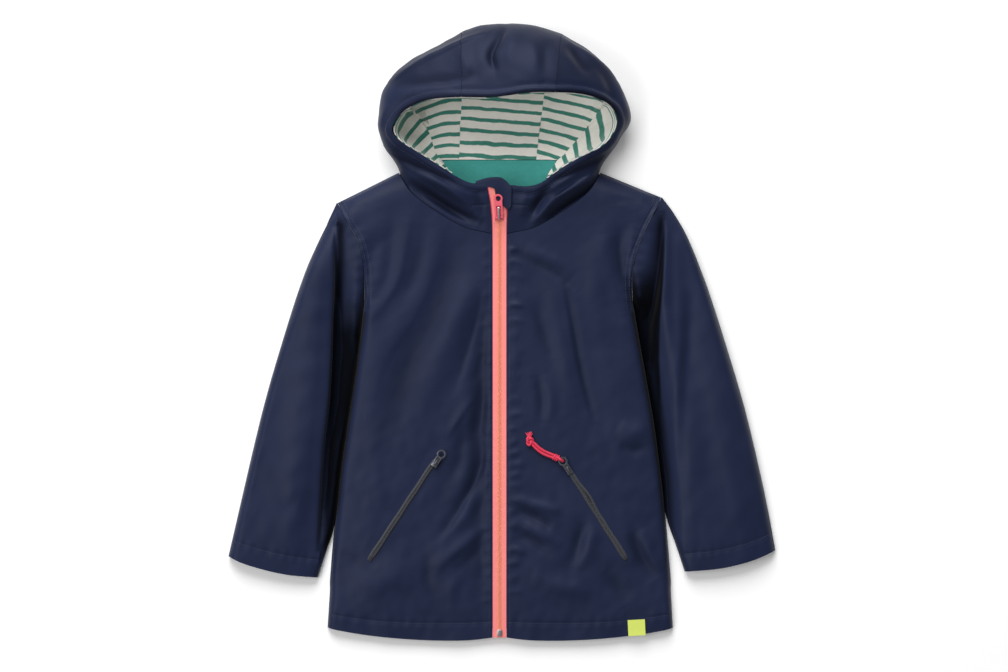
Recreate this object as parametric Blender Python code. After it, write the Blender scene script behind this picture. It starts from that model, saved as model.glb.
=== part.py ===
"""Hooded raincoat for a child of five or six, zipped up and laid on its back.

Tables and sizes are in millimetres. X runs to the wearer's left, Y from the hem
to the hood and Z out of the front. The coat lies on the plane Z = 0, and every
panel is its own wall of coated cotton, a hair apart from its neighbour.
"""

import math
from collections import namedtuple

import bmesh
import bpy
from mathutils import Matrix, Vector
from mathutils.bvhtree import BVHTree

MM = 0.001
ORIGIN_Y = 386.0            # half the coat's length: the hem lies at Y = 0 in the tables

WALL = 1.5                  # coated cotton with its seam allowances pressed in
LINING_WALL = 1.0
TAPE_WALL = 1.2
REST_GAP = 0.3              # a piece that rests on another
SEAT = WALL + 0.8           # height at which a rolled edge meets the back
SHOULDER_SEAT = WALL + 1.35 # and the sloping shoulder
SEAM_GAP = 0.6              # two panels edge to edge
SIDE_GAP = 1.4              # sleeve beside the body

EDGE_ROUND = 11.0           # side edges roll down over this width
SHOULDER_ROUND = 26.0
ZIP_EDGE = 9.1              # centre line to the cloth's edge
ZIP_CALM = 26.0             # folds die out this close to the zip
HEM_DROOP = 9.0             # the hem hangs below the straight line between its corners
HEM_DROOP_REACH = 110.0

# ---------------------------------------------------------------- tables

# Sections of the body from the hem to the shoulder seam. Inner is the zip edge and
# then the neck seam, mirrored for the right; rise is 0 on the side seam, where the
# edge meets the back, and 1 on the armhole, where the sleeve carries it.
BodySection = namedtuple("BodySection", "inner_x inner_y right_x right_y left_x left_y rise")
BODY = [
    BodySection(9.1, 2.5, -215.5, 15.4, 217.2, 15.0, 0.0),
    BodySection(9.1, 72.0, -211.5, 75.0, 213.6, 75.0, 0.0),
    BodySection(9.1, 134.0, -206.4, 137.0, 208.4, 137.8, 0.0),
    BodySection(9.1, 212.0, -198.1, 213.8, 200.4, 216.0, 0.0),
    BodySection(9.1, 286.0, -187.6, 287.0, 189.8, 290.0, 0.0),
    BodySection(9.1, 350.0, -177.8, 352.0, 178.4, 352.5, 0.0),
    BodySection(9.1, 392.0, -171.8, 395.0, 170.8, 396.0, 0.0),
    BodySection(9.1, 415.0, -170.0, 415.0, 167.8, 414.0, 0.0),
    BodySection(9.1, 438.0, -168.6, 438.0, 165.6, 440.0, 0.55),
    BodySection(9.1, 464.0, -169.6, 467.0, 167.0, 471.0, 1.0),
    BodySection(9.1, 487.0, -176.6, 497.5, 175.0, 497.0, 1.0),
    BodySection(9.1, 507.5, -186.9, 517.5, 187.0, 524.0, 1.0),
    BodySection(39.0, 513.2, -192.0, 526.5, 193.0, 534.5, 1.0),
    BodySection(72.0, 531.0, -196.6, 534.6, 197.4, 542.2, 1.0),
    BodySection(109.5, 558.0, -200.0, 541.6, 200.2, 548.4, 1.0),
    BodySection(126.5, 584.5, -202.6, 546.8, 202.0, 553.6, 1.0),
]
UNDERARM = 7                # rows of BODY
NECK_START = 11
SHOULDER = len(BODY) - 1
BACK_NECK_Y = 572.0         # centre back, where the hood begins

# Height of the front over the ground, apart from its folds.
Loft = namedtuple("Loft", "y height")
LOFT = [
    Loft(0.0, 11.0), Loft(30.0, 14.0), Loft(80.0, 17.0), Loft(150.0, 19.5),
    Loft(250.0, 21.5), Loft(400.0, 22.5), Loft(507.0, 22.0), Loft(600.0, 22.0),
]

# A fold runs from start to end, bows sideways by bend in its middle, and is a ridge
# where height is positive and a trough where it is negative.
Fold = namedtuple("Fold", "start_x start_y end_x end_y bend width height")
FRONT_FOLDS = [
    Fold(-54, 500, -136, 327, 4, 16, -3.2),
    Fold(-27, 450, -95, 327, 3, 13, 2.6),
    Fold(-31, 386, -95, 264, 2, 12, -2.6),
    Fold(-160, 520, -160, 405, 18, 9, 3.0),
    Fold(-134, 512, -146, 404, 20, 10, -2.6),
    Fold(-31, 200, -81, 86, 3, 12, 2.6),
    Fold(-58, 191, -95, 100, 3, 11, -2.4),
    Fold(-205, 52, -77, 104, 8, 15, 2.6),
    Fold(23, 486, 110, 400, -6, 12, 3.0),
    Fold(37, 450, 88, 372, -4, 11, -2.4),
    Fold(82, 409, 89, 272, 0, 10, 2.4),
    Fold(110, 400, 114, 254, 0, 12, -2.6),
    Fold(151, 509, 146, 418, 3, 9, -3.0),
    Fold(131, 509, 127, 427, 3, 10, 2.4),
    Fold(37, 145, 105, 62, 4, 12, 2.6),
    Fold(60, 177, 106, 104, 3, 11, -2.2),
]
SLEEVE_LOFT = [
    Loft(75.0, 15.0), Loft(125.0, 20.0), Loft(220.0, 23.0), Loft(480.0, 23.0), Loft(560.0, 22.0),
]
SLEEVE_FOLDS = [
    Fold(-206, 505, -240, 125, 7, 11, -5.5),
    Fold(-190, 470, -222, 125, 3, 17, -12.0),
    Fold(-226, 480, -262, 140, 6, 11, 3.5),
    Fold(-262, 400, -302, 160, 0, 11, -3.0),
    Fold(181, 450, 214, 140, -4, 14, -11.0),
    Fold(200, 490, 230, 190, -6, 8, 3.0),
    Fold(222, 500, 246, 290, -4, 10, -5.0),
    Fold(264, 420, 302, 160, 0, 13, 3.0),
]

Point = namedtuple("Point", "x y")

# Edges of the sleeves, from the shoulder point to the cuff.
SLEEVE_OUTER = {
    -1: [Point(-213.9, 525.4), Point(-237.8, 475.9), Point(-253.8, 432.9),
         Point(-268.1, 387.5), Point(-297.5, 286.3), Point(-340.0, 104.6)],
    1: [Point(221.1, 530.6), Point(236.3, 503.8), Point(251.3, 467.0), Point(268.0, 420.1),
        Point(301.8, 310.9), Point(318.3, 246.6), Point(334.9, 172.0), Point(345.9, 111.9)],
}
CUFF = {
    -1: [Point(-340.0, 104.6), Point(-318.3, 94.3), Point(-270.6, 81.8), Point(-227.1, 77.6)],
    1: [Point(345.9, 111.9), Point(318.3, 99.4), Point(276.9, 89.0), Point(231.3, 85.0)],
}
PARTING_Y = {-1: 132.0, 1: 146.0}     # below this the sleeve leaves the body's side
SLEEVE_EDGE = 3.0                     # height of the sleeve's folded edges
SLEEVE_FLOOR = 6.5                    # its deepest trough stays this high
CAP_SHARE = 0.22                      # of its length, over which it takes its own form

# Stations of the hood round its opening, from the right zip edge over the crown to
# the left one. edge is the opening, turn where the cloth turns down, ground where it
# reaches the ground (or the middle of the collar in front), neck how far along the
# seam (0 zip, 1 shoulder, 2 centre back), and round how far it bellies out.
HoodStation = namedtuple(
    "HoodStation",
    "edge_x edge_y edge_z turn_x turn_y turn_z ground_x ground_y ground_z side neck round",
)
HOOD = [
    HoodStation(-16.0, 568.5, 36.0, -11.8, 548.0, 31.3, -9.7, 528.0, 26.7, -1, 0.00, 0.0),
    HoodStation(-38.0, 571.0, 37.0, -36.0, 552.0, 34.0, -35.0, 532.0, 27.0, -1, 0.24, 0.0),
    HoodStation(-66.0, 586.0, 40.0, -66.0, 568.0, 37.0, -66.0, 549.0, 27.0, -1, 0.47, 0.0),
    HoodStation(-94.0, 604.0, 45.0, -97.0, 588.0, 41.0, -98.0, 571.0, 30.0, -1, 0.70, 0.0),
    HoodStation(-114.0, 616.0, 49.0, -123.0, 599.0, 36.0, -122.0, 586.0, 26.0, -1, 0.90, 0.1),
    HoodStation(-126.5, 624.5, 52.0, -141.5, 610.0, 28.0, -131.0, 599.0, 3.0, -1, 1.03, 0.6),
    HoodStation(-133.5, 635.0, 55.0, -150.6, 640.0, 30.0, -136.0, 635.0, 0.0, -1, 1.16, 0.8),
    HoodStation(-129.0, 648.8, 60.0, -150.2, 668.0, 32.0, -134.0, 662.0, 0.0, -1, 1.28, 0.8),
    HoodStation(-114.6, 663.1, 68.0, -143.0, 694.0, 35.0, -124.0, 684.0, 0.0, -1, 1.39, 0.8),
    HoodStation(-88.0, 673.5, 80.0, -114.0, 724.0, 39.0, -99.0, 709.0, 0.0, -1, 1.50, 0.8),
    HoodStation(-47.0, 675.8, 92.0, -47.0, 761.0, 42.0, -47.0, 742.0, 0.0, -1, 1.61, 0.8),
    HoodStation(-6.0, 675.2, 100.0, -12.0, 769.3, 43.0, -14.0, 749.0, 0.0, -1, 1.88, 0.8),
    HoodStation(34.0, 680.8, 106.0, 30.0, 770.4, 43.0, 24.0, 750.0, 0.0, 1, 1.88, 0.8),
    HoodStation(68.0, 681.2, 104.0, 77.0, 758.2, 42.0, 70.0, 740.0, 0.0, 1, 1.61, 0.8),
    HoodStation(104.0, 679.8, 94.0, 117.0, 733.0, 39.0, 103.0, 718.0, 0.0, 1, 1.50, 0.8),
    HoodStation(134.0, 669.5, 80.0, 147.0, 698.0, 36.0, 130.0, 687.0, 0.0, 1, 1.39, 0.8),
    HoodStation(146.0, 654.5, 68.0, 163.5, 664.0, 32.0, 146.0, 660.0, 0.0, 1, 1.28, 0.8),
    HoodStation(146.0, 638.5, 60.0, 160.6, 640.5, 29.0, 145.0, 637.0, 0.0, 1, 1.16, 0.8),
    HoodStation(134.0, 619.0, 54.0, 143.0, 612.5, 27.0, 132.5, 601.0, 3.0, 1, 1.03, 0.6),
    HoodStation(112.0, 607.5, 49.0, 124.0, 597.0, 36.0, 122.0, 586.0, 26.0, 1, 0.90, 0.1),
    HoodStation(88.0, 596.0, 44.0, 98.0, 583.0, 41.0, 98.0, 569.0, 30.0, 1, 0.70, 0.0),
    HoodStation(64.8, 579.5, 40.0, 68.0, 563.0, 37.0, 68.0, 547.0, 27.0, 1, 0.47, 0.0),
    HoodStation(42.0, 566.5, 37.0, 38.0, 549.0, 34.0, 36.0, 531.0, 27.0, 1, 0.24, 0.0),
    HoodStation(12.4, 568.5, 36.0, 10.8, 548.0, 31.3, 9.5, 528.0, 26.7, 1, 0.00, 0.0),
]
CROWN_SEAM = (10, 13)       # rows of HOOD where the centre panel begins and ends
HOOD_FOLDS = [
    Fold(-112, 588, -34, 532, 0, 8, -4.0),
    Fold(-84, 590, -30, 552, 0, 7, 2.5),
    Fold(118, 590, 38, 528, 0, 8, -5.0),
    Fold(90, 586, 44, 536, 0, 6, 3.0),
    Fold(-20, 762, -12, 705, 4, 9, -4.0),
    Fold(8, 768, 20, 700, -4, 10, 3.5),
    Fold(-120, 700, -30, 742, 6, 7, -3.0),
    Fold(96, 742, 148, 668, 6, 7, -3.0),
]

# The lining inside: it leaves the opening's edge, sags through bowl and lands on
# the hood's back at land; from there it lies flat as far as end.
LiningStation = namedtuple(
    "LiningStation", "station bowl_x bowl_y bowl_z land_x land_y end_x end_y"
)
LINING = [
    LiningStation(1.8, -64, 586, 10, -65, 586, -59.8, 580.0),
    LiningStation(3.0, -92, 603, 9, -82, 602, -68.2, 594.4),
    LiningStation(4.5, -117, 622, 8, -94, 616, -72.8, 600.9),
    LiningStation(6.0, -130, 637, 9, -99, 634, -71, 601.0),
    LiningStation(7.0, -126, 650, 10, -96, 648, -66, 601.0),
    LiningStation(8.0, -120, 672, 16, -90, 666, -61, 601.0),
    LiningStation(9.0, -98, 700, 38, -76, 686, -56, 601.0),
    LiningStation(10.0, -48, 742, 54, -46, 712, -51, 601.0),
    LiningStation(11.0, -8, 748, 58, -12, 722, -17, 601.0),
    LiningStation(12.0, 32, 750, 60, 26, 722, 14, 601.0),
    LiningStation(13.0, 68, 740, 56, 59, 712, 45.6, 601.0),
    LiningStation(14.0, 108, 712, 40, 88, 692, 54, 601.0),
    LiningStation(15.0, 134, 682, 20, 106, 669, 60, 601.0),
    LiningStation(16.0, 143, 656, 11, 113, 651, 66, 601.0),
    LiningStation(17.0, 143, 640, 9, 113, 636, 71, 601.0),
    LiningStation(18.5, 122, 616, 8, 100, 616, 72.8, 600.9),
    LiningStation(20.0, 92, 599, 9, 84, 600, 68.2, 594.4),
    LiningStation(21.2, 64, 582, 10, 65, 582, 59.8, 580.0),
]
LINING_SEAM = (7, 10)       # rows of LINING where the centre panel begins and ends

# The seam between facing and lining: at each row of LINING, how far down the line it
# crosses (0 at the opening's edge, 1 at land, 2 at end).
SeamPoint = namedtuple("SeamPoint", "row depth")
FACING_SEAM_RIGHT = [SeamPoint(0.0, 1.93), SeamPoint(2.6, 1.8), SeamPoint(3.5, 1.5),
                     SeamPoint(4.0, 1.3), SeamPoint(4.5, 0.85), SeamPoint(4.75, 0.5),
                     SeamPoint(5.0, 0.07)]
FACING_SEAM_LEFT = [SeamPoint(12.0, 0.07), SeamPoint(12.3, 0.6), SeamPoint(13.0, 0.95),
                    SeamPoint(13.5, 1.17), SeamPoint(13.75, 1.4), SeamPoint(14.0, 1.6),
                    SeamPoint(14.6, 1.83), SeamPoint(17.0, 1.93)]
LINING_DROP = 3.6           # the lining starts this far under the edge
LINING_INSET = 2.0          # and this far inside it
LINING_GAP_SHARE = 0.012    # of a row, from a lining piece's edge to its seam
FACING_GAP_SHARE = 0.045    # of a line, likewise
HOOD_MIDDLE = (4.0, 635.0)

NeckFacingRow = namedtuple("NeckFacingRow", "y half_width")
NECK_FACING = [NeckFacingRow(548.0, 55.0), NeckFacingRow(570.0, 57.0),
               NeckFacingRow(583.0, 59.5), NeckFacingRow(600.2, 71.5)]

# The flap at the zip's top: a tongue behind the collar, folded forward on the left
# to cover the tape's end. Its columns run from the right to the left.
# proud is how far the folded part's outer face stands over the collar's.
GuardColumn = namedtuple("GuardColumn", "x top_y front_x front_y proud")
GUARD_BEHIND = [GuardColumn(-34.0, 566.0, 0, 0, 0), GuardColumn(-27.0, 572.0, 0, 0, 0),
                GuardColumn(-18.0, 575.4, 0, 0, 0), GuardColumn(-8.5, 577.2, 0, 0, 0)]
GUARD_FOLDED = [GuardColumn(-8.5, 577.2, -3.4, 547.5, 1.3),
                GuardColumn(-1.5, 577.2, 3.4, 544.6, 1.3),
                GuardColumn(6.0, 575.4, 9.6, 537.5, 1.6),
                GuardColumn(12.0, 571.6, 12.6, 539.5, 2.5),
                GuardColumn(15.0, 568.0, 14.6, 541.5, 2.9)]
GUARD_FOOT_Y = 546.0
GUARD_SUNK = 3.4            # the tongue under the collar's outer face

ZIP_BOTTOM = 2.6
ZIP_TOP = 567.0
COLLAR_LEAN = -6.4
COLLAR_LEAN_FROM = 522.0
TAPE_GAP = 0.2              # from the centre line to each tape
TAPE_EDGE_GAP = 0.4         # from each tape to the cloth beside it
TAPE_SUNK = 0.4             # the tapes lie under the cloth's outer face
PLATE = 1.5                 # slider plate
SLOT = 2.4                  # room under the slider's bridge
BRIDGE_BAR = 1.1
CROSSBAR = 1.5              # the pull's bar, which turns under the bridge
TAB_WALL = 1.3
BOX_WIDTH, BOX_LENGTH, BOX_HEIGHT = 6.0, 8.0, 2.0
LAID_GAP = 0.6              # under a band that follows folded cloth

# hinge is the crossbar's place along the slider, from its middle towards the ring.
ZipKind = namedtuple(
    "ZipKind",
    "name width length bridge_width bridge_length hinge pull_width pull_length ring hole "
    "window window_length",
)
MAIN_ZIP = ZipKind("zip", 11.0, 18.0, 2.6, 16.0, -5.7, 10.0, 30.0, 5.6, 3.4, 6.2, 15.2)
POCKET_ZIP = ZipKind("pocket", 8.0, 13.0, 2.0, 7.0, 0.9, 7.2, 17.0, 5.7, 3.7, 4.4, 5.3)
MAIN_SLIDER = Point(-0.8, 534.0)
MAIN_PULL_LEAN = Point(-0.053, 1.0)

POCKET_TAPE = 8.0
Pocket = namedtuple("Pocket", "suffix top_x top_y bottom_x bottom_y ring_x ring_y")
POCKETS = [
    Pocket("_right", -81.0, 224.0, -162.0, 100.8, -72.5, 232.5),
    Pocket("_left", 86.5, 213.0, 157.4, 102.3, 79.3, 223.5),
]

CORD = 3.8
CORD_SPACING = 4.3          # between the two strands
CORD_LIFT = 2.8             # cord centre over the cloth
CORD_ROUTE = [Point(66.4, 229.9), Point(60.5, 232.1), Point(54.3, 235.0), Point(48.3, 239.2),
              Point(43.7, 243.7)]
WHIPPING = Point(70.6, 228.0)
WHIPPING_SIZE = (7.4, 10.2, 5.0)     # along the cord, across it, high
WHIPPING_TURN = -25.0
KNOT = Point(38.2, 248.8)
KNOT_SIZE = (10.5, 15.0, 5.0)

LABEL = {"x": 172.0, "bottom": 5.0, "top": 25.0, "width": 21.5, "hem": 8.5, "thickness": 1.0}

# ---------------------------------------------------------------- colours

NAVY = ("#262D44", 0.42, 0.0)
CORAL = ("#FA8C7E", 0.75, 0.0)
CORAL_METAL = ("#F57080", 0.45, 0.0)
SILVER = ("#C9CBCE", 0.30, 1.0)
BLACK_TAPE = ("#2B2C33", 0.60, 0.0)
BLACK_METAL = ("#3A3B42", 0.38, 0.6)
STRIPED_JERSEY = ("#E5DED3", 0.85, 0.0)
TEAL = ("#378C7D", 0.85, 0.0)
RED_CORD = ("#F2365A", 0.70, 0.0)
LABEL_YELLOW = ("#DDEB6A", 0.70, 0.0)


# ---------------------------------------------------------------- small tools

def clear_scene():
    for scene_object in list(bpy.data.objects):
        bpy.data.objects.remove(scene_object, do_unlink=True)


def linear(channel):
    return channel / 12.92 if channel <= 0.04045 else ((channel + 0.055) / 1.055) ** 2.4


def finish(name, look):
    """A Principled material from a hex colour, a roughness and a metallic value."""
    colour, roughness, metallic = look
    material = bpy.data.materials.new(name)
    material.use_nodes = True
    shader = material.node_tree.nodes["Principled BSDF"]
    rgb = [linear(int(colour[i:i + 2], 16) / 255) for i in (1, 3, 5)]
    shader.inputs["Base Color"].default_value = (*rgb, 1.0)
    shader.inputs["Roughness"].default_value = roughness
    shader.inputs["Metallic"].default_value = metallic
    return material


def place(x, y, z):
    """A point of the tables in metres, with the origin under the coat's middle."""
    return Vector((x, y - ORIGIN_Y, z)) * MM


def smoothstep(share):
    share = min(max(share, 0.0), 1.0)
    return share * share * (3.0 - 2.0 * share)


def rounding(distance, radius):
    """0 at an edge, 1 beyond the radius, along a quarter circle."""
    inside = 1.0 - min(max(distance / radius, 0.0), 1.0)
    return math.sqrt(1.0 - inside * inside)


def slope(distance, radius):
    """0 at a seam, 1 beyond the radius, along a quarter of a sine."""
    return math.sin(math.pi / 2 * min(max(distance / radius, 0.0), 1.0))


def smooth_value(values, position):
    """Value at a fractional row, on a smooth curve through every row."""
    index = min(int(position), len(values) - 2)
    t = position - index
    here, after = values[index], values[index + 1]
    before = values[index - 1] if index > 0 else 2 * here - after
    beyond = values[index + 2] if index + 2 < len(values) else 2 * after - here
    return 0.5 * (
        2 * here
        + (after - before) * t
        + (2 * before - 5 * here + 4 * after - beyond) * t ** 2
        + (3 * here - before - 3 * after + beyond) * t ** 3
    )


def spread(first, last, count):
    return [first + (last - first) * i / count for i in range(count + 1)]


def row_at(table, position):
    columns = zip(*table)
    return type(table[0])(*(smooth_value(column, position) for column in columns))


def level(table, at):
    """Linear reading of a table of two columns."""
    for (low_at, low), (high_at, high) in zip(table, table[1:]):
        if at <= high_at:
            return low + (high - low) * max(0.0, (at - low_at) / (high_at - low_at))
    return table[-1][1]


def smooth_path(points, steps):
    """Points of a smooth curve through the given ones, steps to each span."""
    count = (len(points) - 1) * steps
    columns = list(zip(*points))
    return [Vector([smooth_value(c, i / steps) for c in columns]) for i in range(count + 1)]


def along(path, share):
    """Point of a polyline at a share of its length."""
    lengths = [(b - a).length for a, b in zip(path, path[1:])]
    rest = share * sum(lengths)
    for start, end, length in zip(path, path[1:], lengths):
        if rest <= length:
            return start.lerp(end, rest / length if length else 0.0)
        rest -= length
    return path[-1].copy()


def bend_between(start, control, end, t):
    """Quadratic curve from start to end, drawn towards control."""
    return start * (1 - t) ** 2 + control * (2 * t * (1 - t)) + end * t ** 2


def fold_height(folds, x, y):
    total = 0.0
    for fold in folds:
        run = Vector((fold.end_x - fold.start_x, fold.end_y - fold.start_y))
        offset = Vector((x - fold.start_x, y - fold.start_y))
        t = offset.dot(run) / run.length_squared
        if -0.25 < t < 1.25:
            across = (run.x * offset.y - run.y * offset.x) / run.length
            middle = min(max(t, 0.0), 1.0)
            across += fold.bend * 4 * middle * (1 - middle)
            fade = smoothstep((t + 0.25) / 0.5) * smoothstep((1.25 - t) / 0.5)
            total += fold.height * fade * math.exp(-(across / fold.width) ** 2)
    return total


# ---------------------------------------------------------------- mesh makers

def add_object(name, mesh, look):
    scene_object = bpy.data.objects.new(name, mesh)
    bpy.context.scene.collection.objects.link(scene_object)
    mesh.materials.append(finish(name, look))
    mesh.shade_smooth()
    mesh.set_sharp_from_angle(angle=math.radians(40))
    return scene_object


def grid_mesh(name, grids, around=False):
    """A sheet through grids of points; around joins the last column to the first."""
    bm = bmesh.new()
    for grid in grids:
        rows = [[bm.verts.new(place(*point)) for point in row] for row in grid]
        columns = len(rows[0])
        last = columns if around else columns - 1
        for near, far in zip(rows, rows[1:]):
            for i in range(last):
                j = (i + 1) % columns
                bm.faces.new((near[i], near[j], far[j], far[i]))
    bmesh.ops.remove_doubles(bm, verts=bm.verts, dist=0.001 * MM)
    mesh = bpy.data.meshes.new(name)
    bm.to_mesh(mesh)
    bm.free()
    return mesh


def cloth(name, grid, look, thickness=WALL, around=False, more=None):
    """A wall whose outer face is the grid and whose thickness goes to the inside."""
    grids = [grid, more] if more else [grid]
    panel = add_object(name, grid_mesh(name, grids, around), look)
    wall = panel.modifiers.new("Wall", "SOLIDIFY")
    wall.thickness = thickness * MM
    wall.offset = -1.0
    return panel


def flipped(grid):
    """The same sheet facing the other way."""
    return [list(reversed(row)) for row in grid]


class Surface:
    """Heights of a made sheet, read from its own facets."""

    def __init__(self, *grids):
        points, faces = [], []
        for grid in grids:
            first, width = len(points), len(grid[0])
            points += [Vector(point) for row in grid for point in row]
            for r in range(len(grid) - 1):
                for c in range(width - 1):
                    corner = first + r * width + c
                    faces.append((corner, corner + 1, corner + width + 1, corner + width))
        self.tree = BVHTree.FromPolygons(points, faces)

    def height(self, x, y):
        hit = self.tree.ray_cast(Vector((x, y, 500.0)), Vector((0, 0, -1)))[0]
        return hit.z


# ---------------------------------------------------------------- body

def outer_point(section, side):
    if side < 0:
        return Vector((section.right_x, section.right_y))
    return Vector((section.left_x, section.left_y))


def inner_point(section, side):
    return Vector((side * max(section.inner_x, ZIP_EDGE), section.inner_y))


def shoulder_distance(x, y):
    """How far a point lies below the shoulder seam of its side."""
    side = -1 if x < 0 else 1
    top = BODY[SHOULDER]
    neck = Vector((side * top.inner_x, top.inner_y))
    run = outer_point(top, side) - neck
    offset = Vector((x, y)) - neck
    return side * (run.y * offset.x - run.x * offset.y) / run.length


def panel_height(x, y):
    """Outer face of the fronts over the ground, away from their side edges."""
    calm = smoothstep((abs(x) - ZIP_EDGE) / ZIP_CALM)
    full = level(LOFT, y) + calm * fold_height(FRONT_FOLDS, x, y)
    rise = slope(shoulder_distance(x, y), SHOULDER_ROUND)
    return SHOULDER_SEAT + (full - SHOULDER_SEAT) * rise


def edge_height(section, side):
    """Height of a front's outer edge, at the side seam or along the armhole."""
    outer = outer_point(section, side)
    return SEAT + (panel_height(*outer) - SEAT) * min(max(section.rise, 0.0), 1.0)


def hem_droop(share, y):
    near_hem = smoothstep(1.0 - y / HEM_DROOP_REACH)
    return HEM_DROOP * near_hem * (4 * share * (1 - share)) ** 0.7


def body_positions():
    """Rows of the body: every half section, closer where the shoulder rolls down."""
    halves = [i / 2 for i in range(2 * SHOULDER - 1)]
    return halves + [SHOULDER - rest for rest in (0.72, 0.46, 0.24, 0.08, 0.0)]


def front_grid(side):
    rolled = (0.0, 0.9, 3.0, 6.2, EDGE_ROUND)
    inner_columns = 9
    grid = []
    for position in body_positions():
        section = row_at(BODY, position)
        inner = inner_point(section, side)
        outer = outer_point(section, side)
        width = (outer - inner).length
        flat = width - EDGE_ROUND
        inside = [EDGE_ROUND + flat * (i + 1) / inner_columns for i in range(inner_columns)]
        edge = edge_height(section, side)
        row = []
        for distance in (*rolled, *inside):
            share = distance / width
            x, y = outer.lerp(inner, share)
            y -= hem_droop(share, y)
            z = edge + (panel_height(x, y) - edge) * rounding(distance, EDGE_ROUND)
            row.append((x, y, z))
        grid.append(row)
    return flipped(grid) if side > 0 else grid


def back_neck(x):
    """Back neck seam, a shallow curve between the shoulder seams."""
    top = BODY[SHOULDER]
    return BACK_NECK_Y + (top.inner_y - BACK_NECK_Y) * (x / top.inner_x) ** 2


def back_grid():
    columns = 12
    grid = []
    for position in body_positions()[:-3]:
        section = row_at(BODY, position)
        right, left = outer_point(section, -1), outer_point(section, 1)
        row = []
        for i in range(columns + 1):
            share = i / columns
            x, y = right.lerp(left, share)
            half = abs(2 * share - 1)
            y -= hem_droop(1 - half, y)
            row.append((x, y, 0.0))
        grid.append(row)
    top = BODY[SHOULDER]
    seam = [outer_point(top, -1)]
    seam += [Vector((-top.inner_x, top.inner_y))]
    for i in range(1, columns - 2):
        x = top.inner_x * (2 * i / (columns - 2) - 1)
        seam.append(Vector((x, back_neck(x))))
    seam += [Vector((top.inner_x, top.inner_y)), outer_point(top, 1)]
    grid.append([(point.x, point.y, 0.0) for point in seam])
    return flipped(grid)


# ---------------------------------------------------------------- sleeves

def armhole_path(side):
    """The armhole from the shoulder to the underarm, a seam's width outside the body."""
    steps = 5
    sections = [row_at(BODY, SHOULDER - i / steps) for i in range((SHOULDER - UNDERARM) * steps + 1)]
    edge = [outer_point(section, side) for section in sections]
    path = []
    for i, (section, point) in enumerate(zip(sections, edge)):
        run = (edge[min(i + 1, len(edge) - 1)] - edge[max(i - 1, 0)]).normalized()
        gap = SEAM_GAP * (2.0 if i < 4 else 1.0)
        x = point.x - side * run.y * gap
        y = point.y + side * run.x * gap
        path.append(Vector((x, y, edge_height(section, side))))
    path[0].xy += (edge[0] - edge[1]).normalized() * SEAM_GAP
    return path


def inner_edge_path(side):
    """The sleeve's inner edge: down the body's side, then away to the cuff."""
    path = []
    steps = 4
    for i in range(UNDERARM * steps):
        section = row_at(BODY, UNDERARM - i / steps)
        outer = outer_point(section, side)
        if outer.y > PARTING_Y[side]:
            gap = SEAM_GAP + (SIDE_GAP - SEAM_GAP) * min(1.0, i / steps)
            path.append(Vector((outer.x + side * gap, outer.y)))
    return path + [Vector(CUFF[side][-1])]


def sleeve_grid(side):
    """Rings of the sleeve: over the top from the outer edge to the inner, back below."""
    armhole = armhole_path(side)
    seam = [point.xy for point in armhole]
    shoulder, underarm = seam[0], seam[-1]
    outer_edge = smooth_path([shoulder, *map(Vector, SLEEVE_OUTER[side])], 4)
    inner_edge = inner_edge_path(side)
    cuff = smooth_path([Vector(point) for point in CUFF[side]], 4)
    along_rows = (0.0, 0.03, 0.07, 0.12, 0.19, 0.27, 0.35, 0.43, 0.51, 0.59, 0.67, 0.75,
                  0.83, 0.90, 0.95, 1.0)
    rolled = (0.0, 0.9, 3.2, 8.0)
    cap = rolled[-1] * 2
    inner_columns = 8
    grid = []
    for v in along_rows:
        width = (along(outer_edge, v) - along(inner_edge, v)).length

        def row_point(u):
            across = along(seam, u) * (1 - v) + along(cuff, u) * v
            edges = along(outer_edge, v) * (1 - u) + along(inner_edge, v) * u
            corners = (shoulder * (1 - u) + underarm * u) * (1 - v)
            corners += (cuff[0] * (1 - u) + cuff[-1] * u) * v
            return across + edges - corners

        inside = spread(cap, width - rolled[-1], inner_columns + 1)[:-1]
        distances = [*rolled, *inside, *(width - d for d in reversed(rolled))]
        ring = []
        for distance in distances:
            u = distance / width
            x, y = row_point(u)
            full = max(level(SLEEVE_LOFT, y) + fold_height(SLEEVE_FOLDS, x, y), SLEEVE_FLOOR)
            rise = rounding(distance, EDGE_ROUND) * rounding(width - distance, EDGE_ROUND)
            z = SLEEVE_EDGE + (full - SLEEVE_EDGE) * rise
            seam_z = max(along(armhole, u).z, SLEEVE_EDGE)
            ring.append((x, y, seam_z + (z - seam_z) * smoothstep(v / CAP_SHARE)))
        for distance in reversed(distances[2:-2]):
            x, y = row_point(distance / width)
            ring.append((x, y, 0.0))
        grid.append(ring)
    return grid if side > 0 else flipped(grid)


# ---------------------------------------------------------------- hood

def neck_point(side, share, front):
    """Neck seam from the zip (0) over the shoulder (1) to the centre back (2)."""
    top = BODY[SHOULDER]
    if share <= 1.0:
        section = row_at(BODY, NECK_START + share * (SHOULDER - NECK_START))
        x, y = inner_point(section, side)
        z = front.height(x + side * 0.2, y - 0.2) if share < 0.97 else SEAT
        return Vector((x - side * 0.35 * SEAM_GAP, y + SEAM_GAP, z))
    x = side * top.inner_x * (2.0 - share)
    drop = smoothstep((1.06 - share) / 0.06)
    return Vector((x, back_neck(x) + SEAM_GAP, SEAT * drop))


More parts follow.
